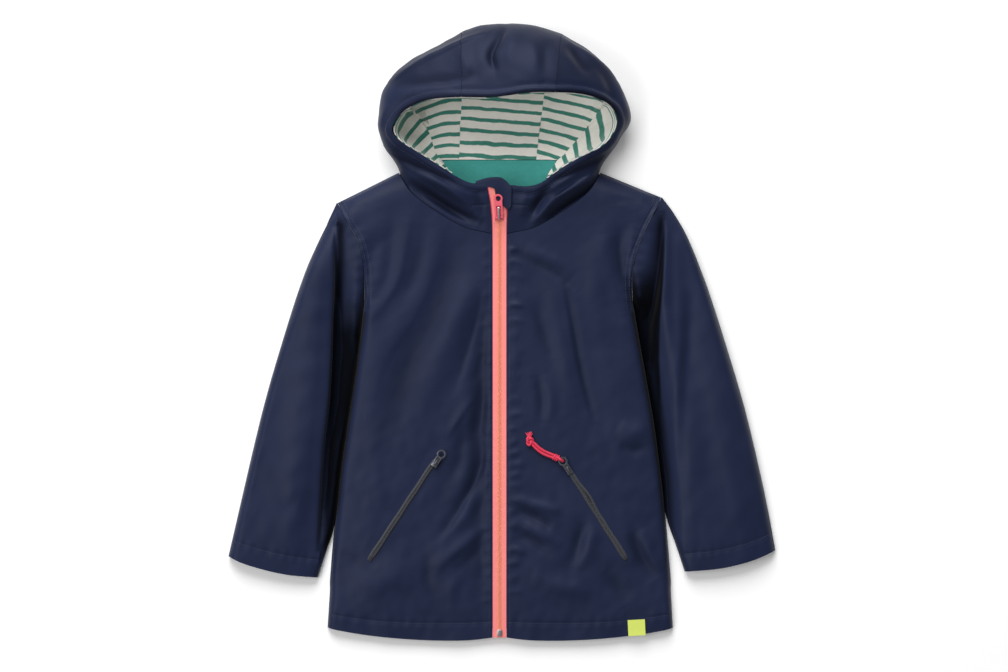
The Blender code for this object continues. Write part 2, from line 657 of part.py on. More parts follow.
def hood_profile(position, front):
    """One line of the hood from the opening's edge to the neck seam."""
    station = row_at(HOOD, position)
    side = -1 if position < len(HOOD) / 2 - 0.5 else 1
    edge = Vector((station.edge_x, station.edge_y, station.edge_z))
    turn = Vector((station.turn_x, station.turn_y, station.turn_z))
    ground = Vector((station.ground_x, station.ground_y, max(0.0, station.ground_z)))
    neck = neck_point(side, min(station.neck, 2.0), front)
    belly = min(max(station.round, 0.0), 1.0)
    over = ((edge + turn) / 2).lerp(Vector((turn.x, turn.y, edge.z)), belly)
    under = ((turn + ground) / 2).lerp(Vector((turn.x, turn.y, ground.z)), belly)
    crown = [bend_between(edge, over, turn, i / 6) for i in range(6)]
    heel = [bend_between(turn, under, ground, i / 3) for i in range(3)]
    sole = [ground.lerp(neck, i / 3) for i in range(4)]
    for point in crown + heel:
        lift = fold_height(HOOD_FOLDS, point.x, point.y)
        near = min(1.0, abs(point.z) / 20.0)
        calm = smoothstep((abs(point.x) - 14.0) / 16.0) if point.y < 600 else 1.0
        point.z += lift * near * calm
    return crown + heel + sole


def hood_grid(first, last, rows, front):
    grid = [hood_profile(first + (last - first) * i / rows, front) for i in range(rows + 1)]
    return [[tuple(point) for point in row] for row in grid]


def lining_line(position, front, depths):
    """Points of one line of the lining, at depths from the opening's edge to the end."""
    row = row_at(LINING, position)
    edge = hood_profile(row.station, front)[0]
    inward = (Vector((*HOOD_MIDDLE, edge.z)) - edge).normalized()
    start = Vector((edge.x, edge.y, edge.z - LINING_DROP)) + inward * LINING_INSET
    bowl = Vector((row.bowl_x, row.bowl_y, row.bowl_z))
    floor = WALL + REST_GAP + LINING_WALL
    land = Vector((row.land_x, row.land_y, floor))
    end = Vector((row.end_x, row.end_y, floor))
    points = []
    for depth in depths:
        sagging = bend_between(start, bowl, land, min(depth, 1.0))
        points.append(tuple(sagging if depth < 1.0 else land.lerp(end, depth - 1.0)))
    return points


# ---------------------------------------------------------------- zips

def collar_lean(y):
    """The zip's top end leans to the right with the collar."""
    return COLLAR_LEAN * max(0.0, (y - COLLAR_LEAN_FROM) / (ZIP_TOP - COLLAR_LEAN_FROM)) ** 2


def zip_height(y, front):
    """Outer face of the cloth beside the zip."""
    neck_y, edge_y = 507.5, HOOD[0].edge_y
    neck_z = front.height(-ZIP_EDGE - 0.1, neck_y - 0.5)
    if y < neck_y:
        return front.height(-ZIP_EDGE - 0.1, max(y, ZIP_BOTTOM + 1.0))
    return neck_z + (HOOD[0].edge_z - neck_z) * (y - neck_y) / (edge_y - neck_y)


def cloth_edge(side, y):
    """X of the cloth's edge beside the zip, on the front and then on the collar."""
    last = HOOD[0] if side < 0 else HOOD[-1]
    corners = [(BODY[NECK_START].inner_y, side * ZIP_EDGE), (last.ground_y, last.ground_x),
               (last.turn_y, last.turn_x), (last.edge_y, last.edge_x)]
    for (low_y, low_x), (high_y, high_x) in zip(corners, corners[1:]):
        if y <= high_y:
            return low_x + (high_x - low_x) * max(0.0, (y - low_y) / (high_y - low_y))
    return last.edge_x


def zip_tape(name, side, front):
    grid = []
    for y in spread(ZIP_BOTTOM, ZIP_TOP, 26):
        z = zip_height(y, front) - TAPE_SUNK
        outer = cloth_edge(side, y) - side * TAPE_EDGE_GAP
        inner = collar_lean(y) + side * TAPE_GAP
        grid.append([(min(outer, inner), y, z), (max(outer, inner), y, z)])
    cloth(name, grid, CORAL, TAPE_WALL)


def frame_on(surface, x, y, direction, lift):
    """Axes of a fitting on the cloth: X across, Y along direction, Z off the cloth."""
    step = Vector(direction).normalized() * 12.0
    here = Vector((x, y, surface(x, y)))
    ahead = Vector((x + step.x, y + step.y, surface(x + step.x, y + step.y)))
    along_axis = (ahead - here).normalized()
    across_axis = along_axis.cross(Vector((0, 0, 1))).normalized()
    up_axis = across_axis.cross(along_axis)
    matrix = Matrix((across_axis, along_axis, up_axis)).transposed().to_4x4()
    matrix.translation = place(*(here + up_axis * lift))
    return matrix


def prism(name, outline, low, high, look):
    """An outline in X and Y raised from low to high."""
    bm = bmesh.new()
    face = bm.faces.new([bm.verts.new(Vector((x, y, low)) * MM) for x, y in outline])
    raised = bmesh.ops.extrude_face_region(bm, geom=[face])
    corners = [part for part in raised["geom"] if isinstance(part, bmesh.types.BMVert)]
    bmesh.ops.translate(bm, vec=(0, 0, (high - low) * MM), verts=corners)
    bmesh.ops.recalc_face_normals(bm, faces=bm.faces)
    mesh = bpy.data.meshes.new(name)
    bm.to_mesh(mesh)
    bm.free()
    return add_object(name, mesh, look)


def box_outline(half_x, low_y, high_y):
    return [(-half_x, low_y), (half_x, low_y), (half_x, high_y), (-half_x, high_y)]


def arc(centre_y, radius, start, end, steps):
    angles = [math.radians(start + (end - start) * i / steps) for i in range(steps + 1)]
    return [(radius * math.cos(a), centre_y + radius * math.sin(a)) for a in angles]


def cutter(name, outline, low, high):
    tool = prism(name, outline, low, high, SILVER)
    tool.hide_render = True
    tool.display_type = "WIRE"
    return tool


def boolean(target, tool, operation):
    change = target.modifiers.new(operation.title(), "BOOLEAN")
    change.operation = operation
    change.solver = "EXACT"
    change.object = tool
    tool.parent = target


def slider(zip_kind, suffix, matrix, look, bridge_look):
    """Slider body: a plate over the coils and an arched bridge for the pull."""
    half_x, half_y = zip_kind.width / 2, zip_kind.length / 2
    outline = [(-half_x, -half_y), (half_x, -half_y), (half_x * 0.8, half_y), (-half_x * 0.8, half_y)]
    plate = prism(f"{zip_kind.name}_slider{suffix}", outline, 0.0, PLATE, look)
    plate.matrix_world = matrix
    half = zip_kind.bridge_length / 2
    foot = PLATE + REST_GAP
    top = PLATE + SLOT
    arch = [(-half, foot), (-half, top + 0.4), (0.7 - half, top + BRIDGE_BAR),
            (half - 0.7, top + BRIDGE_BAR), (half, top + 0.4), (half, foot),
            (half - BRIDGE_BAR, foot), (half - BRIDGE_BAR, top), (BRIDGE_BAR - half, top),
            (BRIDGE_BAR - half, foot)]
    on_edge = Matrix(((0, 0, 1, 0), (1, 0, 0, 0), (0, 1, 0, 0), (0, 0, 0, 1)))
    bridge = prism(f"{zip_kind.name}_bridge{suffix}", arch, -zip_kind.bridge_width / 2,
                   zip_kind.bridge_width / 2, bridge_look)
    bridge.matrix_world = matrix @ on_edge


def pull(name, zip_kind, matrix, look):
    """Pull tab with its origin on the crossbar, a window for the bridge and a ring end."""
    half = zip_kind.pull_width / 2
    ring_y = zip_kind.pull_length - zip_kind.ring
    reach = math.degrees(math.asin(min(1.0, half / zip_kind.ring)))
    head = arc(ring_y, zip_kind.ring, reach - 90, 270 - reach, 16)
    outline = [(-half, -CROSSBAR / 2), (half, -CROSSBAR / 2), *head]
    tab = prism(name, outline, -TAB_WALL / 2, TAB_WALL / 2, look)
    tab.matrix_world = matrix
    window = box_outline(zip_kind.window / 2, CROSSBAR / 2, zip_kind.window_length)
    for tool in (
        cutter(name + "_window", window, -TAB_WALL, TAB_WALL),
        cutter(name + "_hole", arc(ring_y, zip_kind.hole, 0, 337.5, 15), -TAB_WALL, TAB_WALL),
    ):
        boolean(tab, tool, "DIFFERENCE")
    return tab


def slider_and_pull(zip_kind, suffix, surface, middle, direction, look, bridge_look):
    """The slider at a point of a zip, and its pull lying along direction."""
    heading = Vector(direction).normalized()
    on_tape = frame_on(surface, *middle, heading, REST_GAP)
    slider(zip_kind, suffix, on_tape, look, bridge_look)
    crossbar = Matrix.Translation(Vector((0, zip_kind.hinge, PLATE + SLOT / 2)) * MM)
    pull(f"{zip_kind.name}_pull{suffix}", zip_kind, on_tape @ crossbar, look)


def strip(name, surface, start, end, width, lift, thickness, look, rows=12, columns=2):
    """A flat band on the cloth, made from the points that it lies on."""
    start, end = Vector(start), Vector(end)
    run = (end - start).normalized()
    side = Vector((-run.y, run.x)) * width / 2
    grid = []
    for i in range(rows + 1):
        middle = start.lerp(end, i / rows)
        row = []
        for j in range(columns + 1):
            point = middle + side * (2 * j / columns - 1)
            row.append((point.x, point.y, surface(point.x, point.y) + lift + thickness))
        grid.append(row)
    cloth(name, flipped(grid), look, thickness)


def tube(name, points, diameter, look):
    curve = bpy.data.curves.new(name, "CURVE")
    curve.dimensions = "3D"
    curve.bevel_depth = diameter / 2 * MM
    curve.bevel_resolution = 2
    curve.use_fill_caps = True
    spline = curve.splines.new("POLY")
    spline.points.add(len(points) - 1)
    for knot, point in zip(spline.points, points):
        knot.co = (*place(*point), 1.0)
    cord = bpy.data.objects.new(name, curve)
    bpy.context.scene.collection.objects.link(cord)
    curve.materials.append(finish(name, look))
    return cord


def bead(name, centre, size, turn, look):
    """A small rounded solid, such as a knot, turned about the upright."""
    bm = bmesh.new()
    bmesh.ops.create_uvsphere(bm, u_segments=12, v_segments=8, radius=0.5)
    bmesh.ops.scale(bm, vec=Vector(size) * MM, verts=bm.verts)
    bmesh.ops.rotate(bm, matrix=Matrix.Rotation(math.radians(turn), 3, "Z"), verts=bm.verts)
    bmesh.ops.translate(bm, vec=place(*centre), verts=bm.verts)
    mesh = bpy.data.meshes.new(name)
    bm.to_mesh(mesh)
    bm.free()
    return add_object(name, mesh, look)


# ---------------------------------------------------------------- the coat

def make_body():
    right, left = front_grid(-1), front_grid(1)
    cloth("front_right", right, NAVY)
    cloth("front_left", left, NAVY)
    cloth("back", back_grid(), NAVY)
    for side, name in ((-1, "sleeve_right"), (1, "sleeve_left")):
        cloth(name, sleeve_grid(side), NAVY, around=True)
    return Surface(right, left)


def make_hood(front):
    seam_share = 0.011      # of a station: the gap between two panels
    first, last = CROWN_SEAM
    panels = (
        ("hood_right", 0.0, first - seam_share, 20),
        ("hood_centre", first, last, 6),
        ("hood_left", last + seam_share, len(HOOD) - 1.0, 20),
    )
    for name, begin, end, rows in panels:
        cloth(name, flipped(hood_grid(begin, end, rows, front)), NAVY)


def make_lining(front):
    """The lining's centre panel, its sides and the facings on either side of the front."""
    right_seam, left_seam = LINING_SEAM
    rows = spread(right_seam, left_seam, 5)
    grid = [lining_line(row, front, spread(0.0, 2.0, 8)) for row in rows]
    cloth("hood_lining_centre", grid, STRIPED_JERSEY, LINING_WALL)
    for side, seam, first, last in (
        ("right", FACING_SEAM_RIGHT, 0.0, right_seam - LINING_GAP_SHARE),
        ("left", FACING_SEAM_LEFT, left_seam + LINING_GAP_SHARE, len(LINING) - 1.0),
    ):
        facing_rows = spread(seam[0].row, seam[-1].row, 10)
        grid = [lining_line(row, front, spread(0.0, level(seam, row) - FACING_GAP_SHARE, 6))
                for row in facing_rows]
        cloth("hood_facing_" + side, grid, STRIPED_JERSEY, LINING_WALL)
        beyond = [row for row in spread(first, last, 12) if not seam[0].row < row < seam[-1].row]
        rows = sorted(set(beyond + facing_rows))
        grid = []
        for row in rows:
            on_seam = seam[0].row <= row <= seam[-1].row
            top = level(seam, row) + FACING_GAP_SHARE if on_seam else 0.0
            grid.append(lining_line(row, front, spread(top, 2.0, 7)))
        cloth("hood_lining_" + side, grid, STRIPED_JERSEY, LINING_WALL)


def make_neck_facing():
    """Plain band inside the back neck, flat on the back and the hood's foot."""
    z = WALL + REST_GAP + LINING_WALL
    shares = [share * 2 - 1 for share in spread(0.0, 1.0, 6)]
    grid = [[(row.half_width * share, row.y, z) for share in shares] for row in NECK_FACING]
    cloth("neck_facing", grid, TEAL, LINING_WALL)


def make_chin_guard(front):
    """The flap behind the zip's top, folded forward over the left tape."""
    def behind(column):
        points = []
        for i in range(4):
            y = GUARD_FOOT_Y + (column.top_y - GUARD_FOOT_Y) * i / 3
            points.append((column.x, y, zip_height(min(y, ZIP_TOP), front) - GUARD_SUNK))
        return points

    def folded(column):
        back = behind(column)
        x, y, low = back[-1]
        high = zip_height(ZIP_TOP, front) + column.proud
        middle, radius = (low + high) / 2, (high - low) / 2
        turn = [(x, y + radius * math.sin(math.radians(a)), middle - radius * math.cos(math.radians(a)))
                for a in (45, 90, 135)]
        front_part = []
        for i in range(4):
            share = i / 3
            down = y + (column.front_y - y) * share
            along_x = x + (column.front_x - x) * share
            z = zip_height(min(down, ZIP_TOP), front) + column.proud
            front_part.append((along_x, down, z))
        return back + turn + front_part

    tongue = [behind(column) for column in GUARD_BEHIND]
    fold = [folded(column) for column in GUARD_FOLDED]
    cloth("chin_guard", tongue, NAVY, LINING_WALL, more=fold)


def make_main_zip(front):
    zip_tape("zip_tape_right", -1, front)
    zip_tape("zip_tape_left", 1, front)

    def tape_top(x, y):
        return zip_height(y, front) - TAPE_SUNK

    slider_and_pull(MAIN_ZIP, "", tape_top, MAIN_SLIDER, MAIN_PULL_LEAN, CORAL_METAL, SILVER)
    box = prism("zip_box", box_outline(BOX_WIDTH / 2, 0.0, BOX_LENGTH), 0.0, BOX_HEIGHT, SILVER)
    box.matrix_world = frame_on(tape_top, 0.0, ZIP_BOTTOM + 2.0, (0, 1), REST_GAP)


def make_pockets(front):
    def tape_top(x, y):
        return front.height(x, y) + LAID_GAP + TAPE_WALL

    for pocket in POCKETS:
        top = Vector((pocket.top_x, pocket.top_y))
        bottom = Vector((pocket.bottom_x, pocket.bottom_y))
        strip("pocket_zip" + pocket.suffix, front.height, top, bottom, POCKET_TAPE,
              LAID_GAP, TAPE_WALL, BLACK_TAPE, rows=14)
        heading = (top - bottom).normalized()
        ring = Vector((pocket.ring_x, pocket.ring_y))
        reach = POCKET_ZIP.pull_length - POCKET_ZIP.ring + POCKET_ZIP.hinge
        slider_and_pull(POCKET_ZIP, pocket.suffix, tape_top, ring - heading * reach, heading,
                        BLACK_METAL, BLACK_METAL)


def make_pull_cord(front):
    """Two strands of cord from the left pocket's pull to a knot."""
    def resting(point, lift):
        return Vector((point.x, point.y, front.height(point.x, point.y) + lift))

    route = smooth_path([resting(point, CORD_LIFT) for point in CORD_ROUTE], 4)
    for name, offset in (("pull_cord_upper", 1), ("pull_cord_lower", -1)):
        strand = []
        for i, point in enumerate(route):
            run = route[min(i + 1, len(route) - 1)] - route[max(i - 1, 0)]
            side = Vector((-run.y, run.x, 0)).normalized() * offset * CORD_SPACING / 2
            strand.append(point - side)
        tube(name, strand, CORD, RED_CORD)
    bead("cord_whipping", resting(WHIPPING, CORD_LIFT), WHIPPING_SIZE, WHIPPING_TURN, RED_CORD)
    bead("cord_knot", resting(KNOT, CORD_LIFT), KNOT_SIZE, 0.0, RED_CORD)


def make_hem_label(front):
    low = Vector((LABEL["x"], LABEL["bottom"]))
    high = Vector((LABEL["x"] - 1.0, LABEL["top"]))
    strip("hem_label", lambda x, y: front.height(x, max(y, LABEL["hem"])), high, low,
          LABEL["width"], LAID_GAP, LABEL["thickness"], LABEL_YELLOW, rows=4, columns=4)


def main():
    clear_scene()
    front = make_body()
    make_hood(front)
    make_lining(front)
    make_neck_facing()
    make_chin_guard(front)
    make_main_zip(front)
    make_pockets(front)
    make_pull_cord(front)
    make_hem_label(front)


main()
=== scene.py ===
# %% [markdown]
# # A child's hooded raincoat
#
# The coat lies zipped up on its back. Nearly all of it is cloth: two fronts over a back,
# two flat sleeves and a hood that stands up like a soft bowl over its striped lining. The
# metal and the cord are small. The CAD frame already holds every panel in its right
# place, so each panel here starts as a copy of its own solid, is made smooth, and then
# gets the creases, puckers and stitches that sewing and wearing leave in it.

# %% Load the frame
import math
from collections import namedtuple

import bmesh
import bpy
import numpy as np
from mathutils import Matrix, Vector
from mathutils.bvhtree import BVHTree


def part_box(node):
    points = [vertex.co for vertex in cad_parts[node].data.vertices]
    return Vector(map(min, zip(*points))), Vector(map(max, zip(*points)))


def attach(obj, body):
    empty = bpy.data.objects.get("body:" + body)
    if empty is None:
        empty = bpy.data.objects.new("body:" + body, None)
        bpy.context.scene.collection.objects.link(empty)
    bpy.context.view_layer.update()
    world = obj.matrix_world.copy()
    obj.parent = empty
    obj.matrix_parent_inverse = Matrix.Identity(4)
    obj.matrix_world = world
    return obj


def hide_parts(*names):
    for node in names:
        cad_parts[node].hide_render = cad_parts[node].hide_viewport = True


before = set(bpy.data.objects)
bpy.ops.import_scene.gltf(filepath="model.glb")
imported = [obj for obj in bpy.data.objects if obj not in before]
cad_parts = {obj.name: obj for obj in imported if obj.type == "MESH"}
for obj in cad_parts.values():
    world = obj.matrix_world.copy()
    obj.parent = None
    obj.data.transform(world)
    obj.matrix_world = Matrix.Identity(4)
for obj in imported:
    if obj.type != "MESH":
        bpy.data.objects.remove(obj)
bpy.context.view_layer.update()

MM = 0.001
ORIGIN_Y = 386.0        # the tables measure Y from the hem, in millimetres

# %% [markdown]
# ## Camera
#
# A garment shot is taken from straight above with a long lens, so that nothing leans or
# swells towards the edges. A 200 mm lens seven metres up does the same here. The camera
# looks down its own -Z axis already, so it needs no turn.

# %% Camera
FRAME_WIDTH = 1.26      # metres of floor across the view
CLOTH_HEIGHT = 0.02     # metres from the floor to the cloth that is in focus
MIDDLE = (0.0056, -0.006)   # metres, the point under the lens
LENS = 200.0
SENSOR = 36.0
camera = bpy.data.objects.new("Camera", bpy.data.cameras.new("Camera"))
camera.data.lens = LENS
camera.data.sensor_width = SENSOR
camera.location = (*MIDDLE, FRAME_WIDTH * LENS / SENSOR + CLOTH_HEIGHT)
bpy.context.scene.collection.objects.link(camera)
bpy.context.scene.camera = camera
print("camera height", round(camera.location.z, 3))

# %% [markdown]
# ## Small tools
#
# Colours are written as the hex codes that a picture editor shows, and one function turns
# them into the linear values that a shader wants. One more function adds a node with its
# settings and its links. Everything that follows is measured in millimetres and placed by
# the same table that the CAD uses, so two helpers carry points back and forth.

# %% Colours and nodes
def tone(code):
    """Linear colour of an sRGB hex code."""
    parts = [int(code[i:i + 2], 16) / 255 for i in (1, 3, 5)]
    return (*[p / 12.92 if p <= 0.04045 else ((p + 0.055) / 1.055) ** 2.4 for p in parts], 1.0)


def add(material, kind, inputs=None, **settings):
    """Adds one shader node. Inputs are values or the sockets they are linked from."""
    made = material.node_tree.nodes.new("ShaderNode" + kind)
    for name, value in settings.items():
        setattr(made, name, value)
    for socket, value in (inputs or {}).items():
        if isinstance(value, bpy.types.NodeSocket):
            material.node_tree.links.new(value, made.inputs[socket])
        else:
            made.inputs[socket].default_value = value
    return made


def finish_of(name, colour, roughness, **constants):
    """A new material with its own numbers on the shader. Returns it and its shader."""
    material = bpy.data.materials.new(name)
    material.use_nodes = True
    shader = material.node_tree.nodes["Principled BSDF"]
    shader.inputs["Base Color"].default_value = tone(colour)
    shader.inputs["Roughness"].default_value = roughness
    for socket, value in constants.items():
        shader.inputs[socket.replace("_", " ")].default_value = value
    return material, shader


def wire(material, output, target):
    material.node_tree.links.new(output, target)


# %% Places and curves
def place(x, y, z):
    """A point of the tables in metres."""
    return Vector((x, y - ORIGIN_Y, z)) * MM


def in_table(point):
    """The table's place of a point in metres."""
    return point[0] / MM, point[1] / MM + ORIGIN_Y, point[2] / MM


def smooth(share):
    """0 to 1, leaving and arriving softly."""
    share = np.clip(share, 0.0, 1.0)
    return share * share * (3 - 2 * share)


def curve_through(points, steps):
    """Points of a smooth curve through the given ones, with steps to each span."""
    table = [Vector(p) for p in points]
    table = [2 * table[0] - table[1], *table, 2 * table[-1] - table[-2]]
    made = []
    for a, b, c, d in zip(table, table[1:], table[2:], table[3:]):
        for i in range(steps):
            t = i / steps
            made.append(0.5 * (2 * b + (c - a) * t + (2 * a - 5 * b + 4 * c - d) * t * t
                               + (3 * b - a - 3 * c + d) * t ** 3))
    return made + [table[-2]]


def even_steps(points, step):
    """Places and headings along a polyline, a step apart."""
    made, rest = [], 0.0
    for a, b in zip(points, points[1:]):
        run = b - a
        length = run.length
        while rest <= length:
            made.append((a + run * (rest / length), run.normalized()))
            rest += step
        rest -= length
    return made


# %% Pieces and their points
def new_piece(name, mesh, material, body="garment"):
    """A finished piece that rides on its body and has its slot."""
    piece = bpy.data.objects.new(name, mesh)
    bpy.context.scene.collection.objects.link(piece)
    mesh.materials.clear()
    mesh.materials.append(material)
    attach(piece, body)
    return piece


def mesh_of(name, bm, sharp=40):
    """Closes a bmesh into a mesh that is smooth but for its sharp edges."""
    mesh = bpy.data.meshes.new(name)
    bm.to_mesh(mesh)
    bm.free()
    mesh.shade_smooth()
    mesh.set_sharp_from_angle(angle=math.radians(sharp))
    return mesh


def drop_on(pieces, x, y):
    """The first point and normal of these pieces under a place."""
    start = place(x, y, 300.0)
    best = None
    for piece in pieces:
        hit, point, normal, _ = piece.ray_cast(start, Vector((0, 0, -1)))
        if hit and (best is None or (point - start).length < (best[0] - start).length):
            best = (point.copy(), normal.copy())
    return best


def points_of(piece):
    """A piece's points in the table, one row each."""
    flat = np.empty(len(piece.data.vertices) * 3)
    piece.data.vertices.foreach_get("co", flat)
    return flat.reshape(-1, 3) / MM + (0.0, ORIGIN_Y, 0.0)


def write_on(piece, name, values):
    """Keeps one number for each point of a piece, for its finish to read."""
    layer = piece.data.attributes.new(name, "FLOAT", "POINT")
    layer.data.foreach_set("value", values.astype(np.float32))


bpy.context.view_layer.update()
print("nodes in the frame:", len(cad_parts))

# %% [markdown]
# ## The red cord on the left pocket's pull
#
# A short end of braided cord is looped through the pull's ring, wrapped with a whipping
# of the same thread, and ends in a knot with a frayed tuft. The cord is one piece folded
# in two, so its halves are two strands: one comes up over the ring's rim, the other goes
# under it, and both run side by side through the whipping into the knot. A curve with a
# round bevel is the simplest true model of a cord, because its line is its length. At the
# ring's rim the soft strands are pressed in a little.
# A braid of this kind is polyester: a bright dye with a dry, faintly glossy surface, and
# slanting plaits about a millimetre and a half long.

# %% Finish of the braided cord
CORD = 3.4              # thickness of the doubled cord's strands
PLAIT = 1.6             # length of one plait along the cord

braid, braid_shader = finish_of("polyester_braid", "#F2365A", 0.55, Sheen_Weight=0.25,
                                Sheen_Roughness=0.4)
spot = add(braid, "TexCoord")
slant = add(braid, "Mapping", {"Vector": spot.outputs["Object"],
                               "Rotation": (0.0, 0.0, math.radians(28))})
plaits = add(braid, "TexVoronoi", {"Vector": slant.outputs[0], "Scale": 1 / (PLAIT * MM),
                                   "Randomness": 0.35}, feature="SMOOTH_F1")
dip = add(braid, "MapRange", {"Value": plaits.outputs["Distance"], "From Max": 0.8})
# Darker away from the middle of each plait, where the bump sinks: painted shade in the grooves
# between plaits.
shade = add(braid, "Mix", {0: dip.outputs[0], 6: tone("#F5395B"), 7: tone("#B5173B")},
            data_type="RGBA")
wire(braid, shade.outputs[2], braid_shader.inputs["Base Color"])
raised = add(braid, "Bump", {"Height": dip.outputs[0], "Strength": 0.8,
                             "Distance": 0.4 * MM}, invert=True)
wire(braid, raised.outputs[0], braid_shader.inputs["Normal"])

# %% A tube along a line
def tube_curve(name, lines, radius, roundness=3, closed=False):
    """Round cords along lines of points in metres."""
    curve = bpy.data.curves.new(name, "CURVE")
    curve.dimensions = "3D"
    curve.bevel_depth = radius * MM
    curve.bevel_resolution = roundness
    curve.use_fill_caps = True
    for line in lines:
        spline = curve.splines.new("POLY")
        spline.points.add(len(line) - 1)
        spline.use_cyclic_u = closed
        for knot, point in zip(spline.points, line):
            knot.co = (*point, 1.0)
    curve.materials.append(braid)
    piece = bpy.data.objects.new(name, curve)
    bpy.context.scene.collection.objects.link(piece)
    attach(piece, "pocket_pull_left")
    return piece


# %% Two strands, over and under the ring
# Places of the doubled cord's middle, with the mm from strand to strand.
Stop = namedtuple("Stop", "x y spacing")
CORD_ROUTE = [Stop(79.3, 223.5, 0.2), Stop(75.2, 225.6, 1.2), Stop(70.6, 228.0, 3.1),
              Stop(66.4, 229.9, 3.4), Stop(60.5, 232.1, 3.7), Stop(54.3, 235.0, 3.7),
              Stop(48.3, 239.2, 3.5), Stop(43.7, 243.7, 3.3), Stop(39.2, 248.0, 2.3)]
CORD_LIFT = 2.8         # cord centre over the cloth
front_solids = [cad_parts["front_left"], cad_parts["front_right"]]
ring_low, ring_high = (corner[2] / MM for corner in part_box("pocket_pull_left"))
ring_middle = (ring_low + ring_high) / 2


def strand(name, hand, rim_height):
    """One half of the cord as a curve. Returns the piece, its length in metres and its line."""
    stops = []
    for i, stop in enumerate(CORD_ROUTE):
        z = in_table(drop_on(front_solids, stop.x, stop.y)[0])[2] + CORD_LIFT
        if i < 2:
            z = (ring_middle, rim_height)[i]
        ahead = CORD_ROUTE[min(i + 1, len(CORD_ROUTE) - 1)]
        behind = CORD_ROUTE[max(i - 1, 0)]
        across = Vector((behind.y - ahead.y, ahead.x - behind.x, 0)).normalized()
        stops.append(Vector((stop.x, stop.y, z)) + across * (hand * stop.spacing / 2))
    line = [place(*point) for point in curve_through(stops, 4)]
    piece = tube_curve(name, [line], CORD / 2, roundness=4)
    length = sum((b - a).length for a, b in zip(line, line[1:]))
    print(name, "length mm", round(length / MM, 1), "from", [round(v / MM, 1) for v in line[0]])
    return piece, length, line


PRESSED = 0.4           # mm that the soft strands give where they pass the rim
upper, upper_length, upper_line = strand("pull_cord_upper_strand", -1,
                                         ring_high + CORD / 2 - PRESSED)
lower, lower_length, lower_line = strand("pull_cord_lower_strand", 1,
                                         ring_low - CORD / 2 + PRESSED)
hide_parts("pull_cord_upper")
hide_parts("pull_cord_lower")

# %% [markdown]
# The whipping is three turns of the same cord round both strands. A small circle spun
# about the strands' line gives one turn, and squeezing it flat makes it hug two strands
# that lie side by side. The knot is an overhand knot pulled tight: its line winds three
# times round itself, which a three-lobed closed curve gives, and a tube follows that
# line. The tuft is a dozen loose threads that fan out of it.

# %% Whipping, knot and tuft
WHIPPING = (70.6, 228.0)
WRAPS, WRAP_STEP = 3, 2.3       # turns of the whipping, and mm from one to the next
WRAP_THICK, WRAP_REACH = 1.1, 2.4   # mm, half a turn's thickness and its distance from the middle
KNOT = (38.2, 248.8)
cord_height = in_table(drop_on(front_solids, *WHIPPING)[0])[2] + CORD_LIFT
bm = bmesh.new()
run = (place(*CORD_ROUTE[3][:2], 0) - place(*CORD_ROUTE[1][:2], 0)).normalized()
for i in range(WRAPS):
    made = bmesh.ops.create_circle(bm, segments=10, radius=WRAP_THICK * MM)["verts"]
    bmesh.ops.rotate(bm, verts=made, matrix=Matrix.Rotation(math.pi / 2, 3, "X"))
    bmesh.ops.translate(bm, verts=made, vec=(WRAP_REACH * MM, 0, 0))
    ring_edges = list({edge for vert in made for edge in vert.link_edges})
    before = set(bm.verts) - set(made)
    bmesh.ops.spin(bm, geom=made + ring_edges, cent=(0, 0, 0), axis=(0, 0, 1),
                   angle=math.tau, steps=26, use_merge=True)
    wrap = [vert for vert in bm.verts if vert not in before]
    bmesh.ops.scale(bm, verts=wrap, vec=(1.3, 0.72, 1.0))
    basis = Matrix((run.cross(Vector((0, 0, 1))), (0, 0, 1), run)).transposed()
    bmesh.ops.rotate(bm, verts=wrap, matrix=basis @ Matrix.Rotation(math.radians(9), 3, "Y"))
    middle = place(*WHIPPING, cord_height) + run * ((i - 1) * WRAP_STEP * MM)
    bmesh.ops.translate(bm, verts=wrap, vec=middle)
bmesh.ops.remove_doubles(bm, verts=bm.verts, dist=1e-6)
bmesh.ops.recalc_face_normals(bm, faces=bm.faces)
whipping = new_piece("cord_whipping_turns", mesh_of("cord_whipping_turns", bm), braid,
                     "pocket_pull_left")
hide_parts("cord_whipping")


knot_height = in_table(drop_on(front_solids, *KNOT)[0])[2] + CORD_LIFT
WINDING_STEPS, THREADS = 60, 14
winding = []
for i in range(WINDING_STEPS):
    t = math.tau * i / WINDING_STEPS
    reach = 2.35 + math.cos(3 * t)
    winding.append(place(KNOT[0] + 1.18 * reach * math.cos(2 * t) - 0.4,
                         KNOT[1] + 1.62 * reach * math.sin(2 * t),
                         knot_height + 0.2 + 1.25 * math.sin(3 * t)))
knot = tube_curve("cord_knot_winding", [winding], 1.6, closed=True)
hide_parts("cord_knot")
threads = []
for i in range(THREADS):
    turn = math.radians(62 + 66 * i / (THREADS - 1) + 7 * math.sin(i * 2.4))
    length = 7.2 + 1.6 * math.sin(i * 1.9)
    start = place(KNOT[0] - 0.6, KNOT[1] + 3.0, knot_height + 0.6 + 0.7 * math.cos(i * 1.3))
    heading = Vector((math.cos(turn), math.sin(turn), 0.05 * math.sin(i * 3.1)))
    bow = Vector((0, 0, 1)).cross(heading) * (0.8 * math.sin(i * 1.7))
    threads.append([start + (heading * (length * s) + bow * (4 * s * (1 - s))
                             - Vector((0, 0, 1.4 * s * s))) * MM for s in (0, .25, .5, .75, 1)])
tuft = tube_curve("cord_knot_tuft", threads, 0.55)
for piece, length, line in ((upper, upper_length, upper_line), (lower, lower_length, lower_line)):
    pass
print("knot height mm", round(knot_height, 1))
